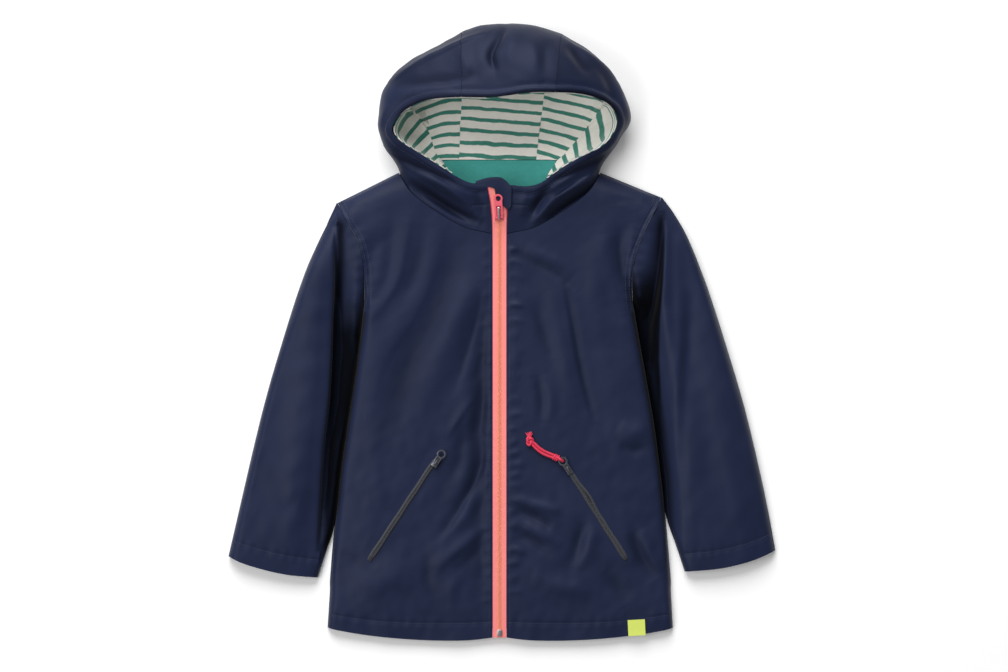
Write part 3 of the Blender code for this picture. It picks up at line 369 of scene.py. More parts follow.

# %% [markdown]
# ## Finish of the coated cotton
#
# The outer cloth is a plain cotton weave with a thin coat of polyurethane, dyed navy. The
# coat fills the weave, so the surface is even and half matt: wide soft lights on every
# fold instead of sparkle, a little fine grain, and faint patches where the coat is
# thicker. The weave itself has threads of 0.3 mm, which would vanish from this distance,
# so the grain is drawn at about 1.5 mm.
#
# Painted shade darkens the colour of cloth deep in a fold, under the hood's turned edge,
# along the side seams and on the crown. Each panel carries a number for how much shade is
# painted on each point, and the finish darkens with it. A metallic finish shines in its own
# colour only, so raising Metallic while the colour goes nearly black takes the white shine away
# too.

# %% Coated cotton
GRAIN = 1.5             # mm, coarser than the real 0.3 mm so that it shows
COAT_PATCH = 38.0       # mm, soft unevenness of the coat
WRINKLE = 14.0          # mm, the smallest creases that a sewn coat keeps

coated, coated_shader = finish_of(
    "polyurethane_coated_cotton", "#18213A", 0.50, Specular_IOR_Level=0.17, IOR=1.46,
    Sheen_Weight=0.05, Sheen_Roughness=0.5)
spot = add(coated, "TexCoord")
patches = add(coated, "TexNoise", {"Vector": spot.outputs["Object"],
                                   "Scale": 1 / (COAT_PATCH * MM), "Detail": 3.0})
shade = add(coated, "Mix", {0: patches.outputs[0], 6: tone("#18203A"),
                            7: tone("#1D2642")}, data_type="RGBA")
# Painted shade: the panels' number darkens the colour to near black and raises Metallic.
painted_shade = add(coated, "Attribute", attribute_name="painted_shade")
painted_dark = add(coated, "Mix", {0: painted_shade.outputs["Fac"], 6: shade.outputs[2],
                           7: tone("#030408")}, data_type="RGBA")
wire(coated, painted_dark.outputs[2], coated_shader.inputs["Base Color"])
wire(coated, painted_shade.outputs["Fac"], coated_shader.inputs["Metallic"])
dull = add(coated, "MapRange", {"Value": patches.outputs[0], "To Min": 0.44,
                                "To Max": 0.56})
wire(coated, dull.outputs[0], coated_shader.inputs["Roughness"])
grain = add(coated, "TexNoise", {"Vector": spot.outputs["Object"],
                                 "Scale": 1 / (GRAIN * MM), "Detail": 2.0})
fine = add(coated, "Bump", {"Height": grain.outputs[0], "Strength": 0.2,
                            "Distance": 0.12 * MM})
wrinkles = add(coated, "TexNoise", {"Vector": spot.outputs["Object"],
                                    "Scale": 1 / (WRINKLE * MM), "Detail": 2.5,
                                    "Distortion": 0.4})
broad = add(coated, "Bump", {"Height": wrinkles.outputs[0], "Strength": 0.2,
                             "Distance": 0.5 * MM, "Normal": fine.outputs[0]})
wire(coated, broad.outputs[0], coated_shader.inputs["Normal"])
thread, thread_shader = finish_of("spun_polyester_thread", "#232B49", 0.6, Sheen_Weight=0.2)
spot = add(thread, "TexCoord")
twist = add(thread, "TexNoise", {"Vector": spot.outputs["Object"],
                                 "Scale": 1 / (1.2 * MM)})
shade = add(thread, "Mix", {0: twist.outputs[0], 6: tone("#1E2643"),
                            7: tone("#2C3554")}, data_type="RGBA")
wire(thread, shade.outputs[2], thread_shader.inputs["Base Color"])
print("navy cloth and thread are ready")

# %% [markdown]
# ## Panels of cloth
#
# A CAD panel is a thin closed wall with a coarse net of facets. Merging its loose
# triangles, joining them into quads and subdividing gives the smooth cloth, as long as
# the wall's rim stays a sharp fold: those edges are creased first. The creases of the
# cloth are then pressed into the fine net from tables of lines. Both faces of
# the wall move alike, so the cloth keeps its thickness, and the underside that rests on
# the floor stays flat. A panel can also carry painted shade where it lies deep in a fold.

# %% From a solid to a smooth panel
RIM_ANGLE = math.radians(66)    # an edge that turns more than this is the wall's rim
LONGEST = 23.0          # mm, the longest edge that a panel's net starts from


def panel(node, name, level, material):
    """A smooth copy of a CAD panel that stands for it."""
    bm = bmesh.new()
    bm.from_mesh(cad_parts[node].data)
    bmesh.ops.remove_doubles(bm, verts=bm.verts, dist=2e-6)
    bmesh.ops.join_triangles(bm, faces=bm.faces, angle_face_threshold=math.radians(55),
                             angle_shape_threshold=math.radians(75))
    far = [e for e in bm.edges if e.calc_length() > LONGEST * MM]
    bmesh.ops.subdivide_edges(bm, edges=far, cuts=1, use_grid_fill=True)
    crease = bm.edges.layers.float.new("crease_edge")
    for edge in bm.edges:
        if len(edge.link_faces) == 2 and edge.calc_face_angle() > RIM_ANGLE:
            edge[crease] = 1.0
    cage = bpy.data.meshes.new(name + "_cage")
    bm.to_mesh(cage)
    bm.free()
    piece = bpy.data.objects.new(name, cage)
    bpy.context.scene.collection.objects.link(piece)
    smoother = piece.modifiers.new("Smooth", "SUBSURF")
    smoother.levels = smoother.render_levels = level
    bpy.context.view_layer.update()
    depsgraph = bpy.context.evaluated_depsgraph_get()
    mesh = bpy.data.meshes.new_from_object(piece.evaluated_get(depsgraph))
    piece.modifiers.clear()
    piece.data = mesh
    bpy.data.meshes.remove(cage)
    for spare in ("custom_normal", "crease_edge"):
        if spare in mesh.attributes:
            mesh.attributes.remove(mesh.attributes[spare])
    mesh.name = name
    mesh.materials.clear()
    mesh.materials.append(material)
    mesh.shade_smooth()
    mesh.set_sharp_from_angle(angle=math.radians(50))
    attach(piece, "garment")
    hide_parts(node)
    print(name, "faces", len(mesh.polygons))
    return piece


# %% Moving and marking a panel's points
def press(piece, move):
    """Moves a panel's points by a function of their places in the table."""
    points = points_of(piece)
    points = points + move(*points.T)
    piece.data.vertices.foreach_set("co", ((points - (0.0, ORIGIN_Y, 0.0)) * MM).ravel())
    piece.data.update()


def shaded(piece, amount):
    """Writes the painted shade of each point, 0 to 1, which darkens its finish."""
    write_on(piece, "painted_shade", np.clip(amount(*points_of(piece).T), 0, 1))


def drawn_out(path, shift, reach, x, y):
    """Moves an edge sideways by shift, fading over reach, to meet its neighbour."""
    side = shift * np.exp(-(nearest(path, x, y)[0] / reach) ** 2)
    return np.stack([side, np.zeros_like(side), np.zeros_like(side)], axis=1)


def upward(height):
    """Heights as moves straight up."""
    return np.stack([np.zeros_like(height), np.zeros_like(height), height], axis=1)


# %% Lines on the cloth
def nearest(path, x, y):
    """Signed distance to a polyline, arc length there, and the whole length."""
    best = np.full(x.shape, 1e9)
    side = np.ones(x.shape)
    arc = np.zeros(x.shape)
    done = 0.0
    for (ax, ay), (bx, by) in zip(path, path[1:]):
        rx, ry = bx - ax, by - ay
        length = math.hypot(rx, ry)
        t = np.clip(((x - ax) * rx + (y - ay) * ry) / length ** 2, 0, 1)
        dx, dy = x - ax - rx * t, y - ay - ry * t
        distance = np.hypot(dx, dy)
        closer = distance < best
        best = np.where(closer, distance, best)
        side = np.where(closer, np.sign(rx * dy - ry * dx), side)
        arc = np.where(closer, done + length * t, arc)
        done += length
    return best * side, arc, done


def bent(points):
    """A smooth line through a few places, as more places."""
    return [tuple(p)[:2] for p in curve_through([Vector((*p, 0)) for p in points], 4)]


# %% Creases, seams and unevenness as heights
# A crease runs through its points, highest in its middle; steep is the side on which it
# is narrow: 1 left of its heading, -1 right, 0 neither. Heights under 0 are troughs.
Crease = namedtuple("Crease", "points width height steep")


def creased(creases, x, y):
    total = np.zeros_like(x)
    for crease in creases:
        distance, arc, whole = nearest(bent(crease.points), x, y)
        width = np.where(distance * crease.steep > 0, crease.width * 0.5, crease.width)
        taper = np.sin(np.pi * np.clip(arc / whole, 0.02, 0.98)) ** 0.7
        total += crease.height * taper * np.exp(-(distance / width) ** 2)
    return total


# A seam dips along its line and puckers on both sides of it.
Seam = namedtuple("Seam", "points dip dip_width pucker pucker_length reach")


def sewn(seams, x, y):
    total = np.zeros_like(x)
    for number, seam in enumerate(seams):
        distance, arc, _ = nearest(bent(seam.points), x, y)
        wave = np.sin(arc * math.tau / seam.pucker_length + number
                      + 1.3 * np.sin(arc / seam.pucker_length * 0.9 + number * 2))
        total -= seam.dip * np.exp(-(distance / seam.dip_width) ** 2)
        total += seam.pucker * wave * np.exp(-(distance / seam.reach) ** 2)
    return total


WAVES = 12


def uneven(x, y, size, seed):
    """Soft unevenness from a dozen crossing waves, about -1 to 1."""
    draw = np.random.default_rng(seed)
    total = np.zeros_like(x)
    for _ in range(WAVES):
        turn = draw.uniform(0, math.pi)
        length = size * draw.uniform(0.7, 1.7)
        phase = draw.uniform(0, math.tau)
        total += np.sin((x * math.cos(turn) + y * math.sin(turn)) * math.tau / length + phase)
    return total / 5


def clear_of(path, reach, fade, x, y):
    """0 on a line and within reach of it, 1 beyond the fade."""
    return smooth((np.abs(nearest(path, x, y)[0]) - reach) / fade)


# %% [markdown]
# ## Fronts
#
# Each front has long soft folds that fall from the collar and the armhole, curved folds
# where the sleeve's seam pulls, short puckers beside the zip, and a hem turned up and
# sewn 20 mm above the edge. The cloth stays calm under the pocket zips, the cord and the
# label, because those are fixed to it. Beside the sleeve a front sinks a little, and the
# edge along the side seam and the troughs of the creases get painted shade.

# %% Creases of the fronts
FRONT_CREASES = [
    Crease([(-16, 440), (-20, 360), (-25, 280), (-27, 200), (-25, 120), (-22, 50)], 12.0, -1.9, 0),
    Crease([(-150, 522), (-147, 497), (-153, 452), (-167, 420)], 9.7, 1.1, 0),
    Crease([(-112, 532), (-117, 500), (-128, 450), (-148, 418), (-166, 398)], 12.3, 1.5, 1),
    Crease([(-66, 528), (-75, 500), (-88, 450), (-112, 400), (-146, 350), (-162, 292)],
           17.8, 1.9, 1),
    Crease([(-26, 474), (-38, 448), (-50, 400), (-68, 350), (-88, 300), (-106, 250)], 17.8, 1.8, 0),
    Crease([(-30, 307), (-52, 275), (-67, 250)], 6.8, 0.9, 1),
    Crease([(-132, 522), (-135, 495), (-140, 452), (-158, 424)], 8.2, -0.9, 0),
    Crease([(-94, 524), (-98, 490), (-108, 450), (-131, 408)], 11, -1.3, 0),
    Crease([(-46, 505), (-60, 450), (-82, 400), (-108, 350), (-130, 300), (-141, 248)],
           16.5, -2.0, 0),
    Crease([(-22, 444), (-30, 400), (-44, 350), (-58, 308)], 8.2, -1.3, 1),
    Crease([(-16, 372), (-26, 340), (-36, 318)], 6.8, -0.9, 0),
    Crease([(-14, 318), (-22, 284), (-34, 254)], 11, -1.1, 0),
    Crease([(-44, 272), (-48, 240), (-54, 214), (-66, 190)], 8.2, -1.1, 0),
    Crease([(-14, 242), (-28, 205), (-46, 172), (-62, 145), (-78, 126)], 8.2, -1.5, 1),
    Crease([(-12, 205), (-28, 178), (-46, 150), (-66, 132)], 6.8, 0.9, 0),
    Crease([(-18, 143), (-40, 122), (-66, 100), (-80, 84)], 9.7, 1.1, 1),
    Crease([(-18, 122), (-40, 100), (-58, 84)], 8.2, -0.9, 0),
    Crease([(-50, 90), (-58, 68), (-62, 44)], 8.2, 0.8, 0),
    Crease([(-88, 108), (-90, 80), (-80, 50)], 8.2, -0.9, 0),
    Crease([(-182, 70), (-144, 76), (-112, 98)], 19.2, 1.5, 0),
    Crease([(-200, 112), (-160, 84), (-120, 50)], 8.2, -0.7, 0),
    Crease([(-178, 210), (-150, 186), (-126, 150)], 11, 0.6, 0),
    Crease([(14, 493), (40, 475), (70, 461), (99, 438)], 7.6, -1.9, 0),
    Crease([(30, 490), (60, 476), (92, 453)], 8.8, 1.5, 0),
    Crease([(62, 440), (72, 396), (84, 344), (96, 300)], 10.1, 1.8, 0),
    Crease([(82, 444), (90, 400), (98, 352), (108, 308), (119, 270)], 6.4, -2.0, -1),
    Crease([(44, 424), (52, 392), (66, 350)], 7.6, -1.2, 0),
    Crease([(148, 508), (150, 480), (155, 452), (169, 424)], 7.6, -2.2, 0),
    Crease([(132, 510), (135, 475), (143, 440), (160, 402)], 11.3, 1.9, 0),
    Crease([(167, 522), (164, 490), (168, 458)], 6.4, 1.3, 0),
    Crease([(112, 520), (116, 480), (122, 420), (124, 360)], 15.2, 1.3, 0),
    Crease([(148, 268), (166, 258), (186, 262)], 11.3, 1.3, 0),
    Crease([(150, 244), (168, 238), (186, 242)], 7.6, -1.2, 0),
    Crease([(56, 334), (64, 302), (62, 270)], 7.6, 1.3, 0),
    Crease([(46, 334), (53, 302), (50, 274)], 6.4, -1.3, 0),
    Crease([(14, 166), (40, 156), (68, 140)], 6.4, -1.6, 0),
    Crease([(14, 179), (44, 169), (78, 160)], 6.4, 1.3, 0),
    Crease([(14, 148), (46, 136), (80, 116)], 6.4, 1.2, 0),
    Crease([(14, 136), (40, 124), (66, 102)], 6.4, -1.2, 0),
    Crease([(105, 150), (98, 120), (88, 92)], 7.6, -1.4, 0),
    Crease([(120, 150), (112, 116), (100, 86)], 8.8, 1.3, 0),
    Crease([(163, 136), (178, 102), (196, 74)], 7.6, -1.7, 0),
    Crease([(176, 140), (190, 108), (206, 84)], 7.6, 1.3, 0),
    Crease([(40, 84), (76, 66), (120, 60)], 10.1, 1.3, 0),
    Crease([(128, 86), (150, 62), (158, 44)], 8.8, -1.1, 0),
]
print("creases of the fronts:", len(FRONT_CREASES))

# %% Puckers, seams and edges of the fronts
PUCKER_TOP, PUCKER_LOW = 488.0, 45      # the puckers run down the zip between these heights
draw = np.random.default_rng(17)
ZIP_PUCKERS = []
for side, height, length in ((1, 1.7, 18), (-1, 0.8, 12)):
    y = PUCKER_TOP
    while y > PUCKER_LOW:
        rise = height * draw.uniform(0.4, 1.2)
        end = length * draw.uniform(0.6, 1.2)
        ZIP_PUCKERS.append(Crease([(side * 9, y), (side * (10 + end / 2), y + draw.uniform(-2, 2)),
                                   (side * (11 + end), y + draw.uniform(-5, 5))],
                                  draw.uniform(3.2, 5.0), rise, 0))
        y -= draw.uniform(12, 22)
HEM = {-1: [(-10.5, 21.5), (-60, 20.0), (-110, 20.5), (-160, 23.5), (-211, 31.0)],
       1: [(10.5, 21.5), (60, 20.0), (110, 20.5), (160, 23.5), (212.5, 31.0)]}
ARMHOLE = {-1: [(-202.6, 546.8), (-196.6, 534.6), (-187, 517.5), (-176.6, 497.5),
                (-169.6, 467), (-168.6, 438), (-170, 415)],
           1: [(202, 553.6), (197.4, 542.2), (187, 524), (175, 497), (167, 471),
               (165.6, 440), (167.8, 414)]}
SIDE = {-1: [(-170, 408), (-171.8, 395), (-177.8, 352), (-187.6, 287), (-198.1, 213.8),
             (-206.4, 137), (-211.5, 75)],
        1: [(168, 408), (170.8, 396), (178.4, 352.5), (189.8, 290), (200.4, 216),
            (208.4, 137.8), (213.6, 75)]}
SHOULDER = {-1: [(-126.5, 584.5), (-202.6, 546.8)], 1: [(126.5, 584.5), (202, 553.6)]}
SHOULDER_ROUND = 26.0   # mm over which the solid slopes down to the shoulder seam
Pocket = namedtuple("Pocket", "hand top bottom")
POCKETS = [Pocket("right", (-81.0, 224.0), (-162.0, 100.8)),
           Pocket("left", (86.5, 213.0), (157.4, 102.3))]
CORD_LINE = [stop[:2] for stop in CORD_ROUTE] + [KNOT, (36.0, 256.0)]
LABEL_LINE = [(172, 5), (171, 25)]
print("puckers beside the zip:", len(ZIP_PUCKERS))

# %% The two fronts
CREASE_GAIN, LOW_GAIN = 1.4, 0.8    # all creases are raised by the first, low ones by both
SHOULDER_RISE = 15.0    # mm, how much rounder than the solid the shoulder is
SIDE_SINK = {-1: 4.5, 1: 2.5}       # mm that a front sinks beside its sleeve
SIDE_OUT, SIDE_REACH = 1.0, 9.0     # mm that the side seams swell, and over how far
SEAM_DARK, TROUGH_DARK = 0.85, 0.26     # painted shade along the side seam and in a trough
DEEP_TROUGH = 2.0       # mm of a trough at which its painted shade is full
fronts = []
for side, hand in ((-1, "right"), (1, "left")):
    front = panel(f"front_{hand}", f"front_panel_{hand}", 3, coated)
    seams = [Seam(HEM[side], 0.7, 2.2, 0.3, 16.0, 8.0),
             Seam([(x - side * 5, y) for x, y in ARMHOLE[side]], 0.8, 2.4, 0.2, 13.0, 9.0)]

    def fold(x, y, z):
        """All that lifts or lowers a front, calm where something is fixed to it."""
        lift = creased(FRONT_CREASES, x, y) * (CREASE_GAIN + LOW_GAIN * smooth((320 - y) / 80))
        lift += 0.7 * uneven(x, y, 90, 3) + 0.25 * uneven(x, y, 20, 31) * smooth((330 - y) / 80)
        lift += 0.3 * uneven(x, y, 34, 4) + 0.06 * uneven(x, y, 15, 21)
        lift *= smooth((np.abs(x) - 10.0) / 12.0)
        lift += creased(ZIP_PUCKERS, x, y) * smooth((np.abs(x) - 9.5) / 3.0) + sewn(seams, x, y)
        drop = np.clip(np.abs(nearest(SHOULDER[side], x, y)[0]) / SHOULDER_ROUND, 0, 1)
        rounder = np.sqrt(1 - (1 - drop) ** 2) - np.sin(np.pi / 2 * drop)
        lift += SHOULDER_RISE * rounder * smooth(np.abs(nearest(ARMHOLE[side], x, y)[0]) / 22)
        for pocket in POCKETS:
            lift *= clear_of([pocket.top, pocket.bottom], 6.0, 9.0, x, y)
        lift *= clear_of(CORD_LINE, 8.0, 8.0, x, y) * clear_of(LABEL_LINE, 13.0, 6.0, x, y)
        beside = smooth((np.abs(x) - 152) / 50) * smooth((470 - y) / 80) * smooth((y - 28) / 50)
        lift -= SIDE_SINK[side] * beside
        lift *= smooth((z - 2.0) / 5.0)
        return upward(lift) + drawn_out(SIDE[side], side * SIDE_OUT, SIDE_REACH, x, y)

    # Painted shade along the side seam and in the troughs of the creases.
    def dark(x, y, z):
        seam = np.exp(-(nearest(SIDE[side], x, y)[0] / 2.4) ** 2)
        seam *= smooth((425 - y) / 20) * smooth((y - 140) / 40)
        trough = np.clip(-creased(FRONT_CREASES, x, y) / DEEP_TROUGH, 0, 1)
        return SEAM_DARK * seam + TROUGH_DARK * trough * smooth((z - 5) / 4)

    press(front, fold)
    shaded(front, dark)
    fronts.append(front)

# %% [markdown]
# ## Back
#
# The back lies on the floor, so it is flat underneath. Only shallow creases lift it here
# and there, the way cloth bridges small dips when a coat is laid down. Its sides, between
# the body and the sleeves, get painted shade.

# %% Back panel
BACK_CREASES = [
    Crease([(-150, 420), (-90, 330), (-70, 220)], 9, 0.8, 0),
    Crease([(140, 430), (96, 330), (90, 210)], 9, 0.8, 0),
    Crease([(-40, 300), (-20, 200), (-60, 90)], 8, 0.7, 0),
    Crease([(60, 180), (30, 110), (70, 50)], 8, 0.7, 0),
    Crease([(-120, 500), (0, 520), (120, 505)], 10, 0.6, 0),
]
BACK_DARK = 0.9
back = panel("back", "back_panel", 3, coated)


def back_fold(x, y, z):
    """Lifts only, away from the edges, so that nothing goes through the floor."""
    lift = np.maximum(creased(BACK_CREASES, x, y) + 0.12 * (1 + uneven(x, y, 60, 9)), 0)
    lift = lift * smooth((190 - np.abs(x)) / 60) * smooth((y - 20) / 40)
    return (upward(lift) + drawn_out(SIDE[-1], -SIDE_OUT, SIDE_REACH, x, y)
            + drawn_out(SIDE[1], SIDE_OUT, SIDE_REACH, x, y))


press(back, back_fold)
# Painted shade on the sides of the back, between the body and the sleeves.
shaded(back, lambda x, y, z: BACK_DARK * smooth((np.abs(x) - 150) / 12) * smooth((z + 1) / 2)
       * smooth((425 - y) / 20) * smooth((y - 120) / 40))

# %% [markdown]
# ## Sleeves
#
# A sleeve is a tube pressed flat. Its folds run from the armhole down to the cuff. One is
# a deep trough along the inside, where the cloth has no body to lie on, and on the right
# sleeve the cloth outside it has flopped over. The strip between the trough and the body
# sinks, and painted shade darkens it and the side of the trough. The cuff is turned up like the
# hem.

# %% Creases and edges of the sleeves
SLEEVE_CREASES = [
    Crease([(-204, 516), (-206, 450), (-209, 400), (-211, 350), (-214, 300), (-220, 240),
            (-223, 180), (-225, 112)], 9.5, -15.0, -1),
    Crease([(-219, 526), (-220, 450), (-223, 400), (-227, 350), (-232, 300), (-238, 240),
            (-243, 180), (-250, 118)], 12.5, 2.8, 0),
    Crease([(-194, 480), (-193, 430), (-196, 370), (-202, 300), (-208, 240)], 12.0, -7.0, 0),
    Crease([(-252, 420), (-262, 340), (-270, 250), (-274, 150)], 11.5, -0.8, 0),
    Crease([(-278, 300), (-290, 230), (-300, 150)], 11.5, 0.5, 0),
    Crease([(-258, 220), (-262, 170), (-262, 122)], 8, 0.4, 0),
    Crease([(203, 532), (200, 480), (194, 430), (186, 385), (188, 340)], 10.0, -10.0, 1),
    Crease([(213, 524), (215, 460), (217, 400), (222, 348)], 6.9, -2.0, 0),
    Crease([(240, 440), (233, 350), (230, 280), (228, 200), (233, 150)], 8, -2.3, 0),
    Crease([(225, 505), (227, 440), (227, 380), (222, 320), (217, 250), (217, 185)], 6.9, 0.8, 0),
    Crease([(250, 410), (247, 320), (243, 250), (246, 175)], 10.3, 0.7, 0),
    Crease([(205, 520), (204, 460), (205, 400), (210, 340), (214, 280)], 6.9, 1.1, 0),
    Crease([(262, 300), (260, 240), (264, 170)], 9.2, -0.6, 0),
    Crease([(284, 300), (286, 230), (292, 160)], 11.5, 0.4, 0),
    Crease([(246, 160), (250, 130), (252, 108)], 5.8, -0.5, 0),
]
OUTER = {-1: [(-213.9, 525.4), (-237.8, 475.9), (-268.1, 387.5), (-297.5, 286.3), (-340, 104.6)],
         1: [(221.1, 530.6), (251.3, 467), (268, 420.1), (301.8, 310.9), (345.9, 111.9)]}
CUFF = {-1: [(-337, 126.5), (-315, 117), (-268, 105), (-228, 99.5)],
        1: [(342, 133.5), (315, 122), (274, 111.5), (232, 107)]}
print("creases of the sleeves:", len(SLEEVE_CREASES))

# %% The flop over the deep trough
FLOP = 7.0              # mm that the cloth outside the deep trough leans over it
RAMP, RAMP_WIDTH = 7.0, 48.0    # mm by which it climbs towards the trough, and over how far


def flopped(x, y, z):
    """Leans the upper wall of the right sleeve over its trough."""
    distance, arc, whole = nearest(bent(SLEEVE_CREASES[0].points), x, y)
    taper = np.sin(np.pi * np.clip(arc / whole, 0.02, 0.98)) ** 0.7 * smooth((z - 6.0) / 5.0)
    over = FLOP * taper * np.exp(-((distance + 6.0) / 4.5) ** 2)
    rise = RAMP * taper * smooth(1 + distance / RAMP_WIDTH) * smooth(-distance / 6.0)
    return np.stack([over, np.zeros_like(over), rise], axis=1)


# The border of the strip of painted shade between a sleeve and the body.
FOLD_EDGE = {-1: SLEEVE_CREASES[0].points,
             1: [(209, 535), (208, 512), (205, 450), (201, 400), (200, 350), (203, 300), (209, 250),
                 (214, 200), (217, 120)]}
LOW_FROM = {-1: 440, 1: 480}        # height at which that strip starts to widen
ABOVE_DARK, BELOW_DARK = 0.8, 0.88  # painted shade beside the trough, and across the strip

# %% The two sleeves
OUTER_DROP, OUTER_WIDTH = {"right": 0.5, "left": 5.5}, 42.0     # mm, along the outer edge
INNER_DROP, INNER_WIDTH = {"right": 4.0, "left": 11.0}, 24.0    # mm, beside the body
INNER_CLOSER, INNER_REACH = 2.1, 12.0   # mm that the inner edge moves in under the body
sleeves = []
for side, hand in ((-1, "right"), (1, "left")):
    sleeve = panel(f"sleeve_{hand}", f"sleeve_tube_{hand}", 3, coated)
    seams = [Seam(CUFF[side], 0.7, 2.2, 0.22, 13.0, 7.0),
             Seam([(x + side * 4, y) for x, y in ARMHOLE[side]], 0.0, 2.0, 0.3, 17.0, 10.0)]

    def fold(x, y, z):
        lift = creased(SLEEVE_CREASES, x, y) + sewn(seams, x, y)
        lift += 0.6 * uneven(x, y, 80, 5) + 0.25 * uneven(x, y, 30, 6)
        outer = smooth(1 - np.abs(nearest(OUTER[side], x, y)[0]) / OUTER_WIDTH)
        inner = smooth(1 - np.abs(nearest(SIDE[side], x, y)[0]) / INNER_WIDTH)
        lift -= OUTER_DROP[hand] * outer * smooth((505 - y) / 60)
        lift -= INNER_DROP[hand] * inner * smooth((y - 100) / 60)
        lift *= smooth((z - 3.0) / 6.0)
        lift = np.maximum(lift, np.minimum(2.6 - 0.9 * z, 0))
        closer = drawn_out(SIDE[side], -side * INNER_CLOSER, INNER_REACH, x, y)
        closer = closer * smooth((y - 105) / 60)[:, None]
        return upward(lift) + closer + (flopped(x, y, z) if hand == "right" else 0)

    def painted_sleeve_shade(x, y, z):
        """Painted shade beside the trough above the armpit, and across the strip below it."""
        into = side * -nearest(FOLD_EDGE[side], x, y)[0]
        seam = np.abs(nearest(SIDE[side], x, y)[0])
        above = ABOVE_DARK * np.exp(-((into - 5.0) / 7.0) ** 2)
        below = BELOW_DARK + (1 - BELOW_DARK) * np.exp(-(seam / 9.0) ** 2)
        low = smooth((LOW_FROM[side] - y) / 60)
        blur = 4 + 12 * smooth((330 - y) / 100)
        edge = smooth((into + 0.4 * blur) / blur)
        return edge * (above + (below - above) * low) * smooth(
            (545 - y) / 30) * smooth((y - 95) / 30)

    press(sleeve, fold)
    shaded(sleeve, painted_sleeve_shade)
    sleeves.append(sleeve)

# %% [markdown]
# ## Hood
#
# Three panels make the hood: a centre strip over the crown and two sides that run down
# into the collar. Its opening has a thick turned hem, which pads the edge into a soft
# roll with a stitched furrow behind it. Points on the crown move away from the middle of
# the head's hollow, because straight up would only shear the steep parts. The crown, the
# turned edge under it and the troughs get painted shade; on the crown it takes back some
# of the light that falls on its slope.

# %% Creases and seams of the hood
RIM = [(-16, 568.5), (-38, 571), (-66, 586), (-94, 604), (-114, 616), (-126.5, 624.5),
       (-133.5, 635), (-129, 648.8), (-114.6, 663.1), (-88, 673.5), (-47, 675.8), (-6, 675.2),
       (34, 680.8), (68, 681.2), (104, 679.8), (134, 669.5), (146, 654.5), (146, 638.5),
       (134, 619), (112, 607.5), (88, 596), (64.8, 579.5), (42, 566.5), (12.4, 568.5)]
HOOD_CREASES = [
    Crease([(-136, 698), (-100, 718), (-60, 738), (-12, 758)], 5, 3.0, -1),
    Crease([(-120, 724), (-84, 742), (-40, 760)], 7, -1.8, 0),
    Crease([(9, 764), (-2, 745), (-9, 728), (-4, 708)], 6, -4.2, 1),
    Crease([(25, 762), (13, 738), (14, 708)], 7, 1.0, 0),
    Crease([(-24, 756), (-24, 734), (-22, 712)], 8, 0.6, 0),
    Crease([(76, 752), (110, 729), (140, 702), (160, 664)], 5, 3.0, 1),
    Crease([(86, 744), (100, 722), (114, 704)], 7, -3.0, 0),
    Crease([(-134, 690), (-100, 694), (-60, 698), (-20, 706)], 7, -2.2, 0),
    Crease([(-130, 676), (-96, 684), (-50, 688)], 5, 1.6, 0),
    Crease([(38, 752), (44, 726), (40, 698)], 8, 0.8, 0),
    Crease([(60, 750), (56, 722), (58, 700)], 7, -0.9, 0),
    Crease([(122, 716), (136, 694), (146, 668)], 7, -2.0, 0),
    Crease([(-52, 738), (-40, 716), (-44, 696)], 7, 1.4, 0),
    Crease([(-138, 668), (-146, 644), (-142, 622)], 6, 1.6, 0),
    Crease([(150, 676), (160, 652), (158, 632)], 6, 1.6, 0),
]
COLLAR_CREASES = [
    Crease([(-142, 612), (-110, 595), (-80, 581), (-50, 568)], 5, -4.0, 0),
    Crease([(-106, 584), (-76, 569), (-50, 551), (-32, 531)], 6, 4.6, 0),
    Crease([(-116, 574), (-84, 554), (-56, 536), (-24, 521)], 7, -6.5, 0),
    Crease([(-100, 556), (-66, 533), (-34, 516)], 4, 1.6, 0),
    Crease([(142, 608), (110, 592), (82, 579), (60, 572)], 5, -4.0, 0),
    Crease([(124, 583), (95, 568), (70, 552), (50, 530), (40, 517)], 6, 5.5, 0),
    Crease([(130, 574), (104, 556), (78, 538), (54, 521)], 6, -6.0, 0),
    Crease([(64, 567), (50, 549), (40, 530)], 6, -5.0, 0),
    Crease([(34, 562), (30, 545), (28, 528)], 5, 1.4, 0),
    Crease([(-30, 562), (-24, 545), (-20, 528)], 5, -1.4, 0),
]
COLLAR_STITCH = [Seam([(-34, 542), (-24, 543), (-13, 543.5)], 0.6, 1.8, 0.2, 9, 5),
                 Seam([(13, 543.5), (24, 543), (34, 542)], 0.6, 1.8, 0.2, 9, 5)]
print("creases of the hood and its collar:", len(HOOD_CREASES) + len(COLLAR_CREASES))

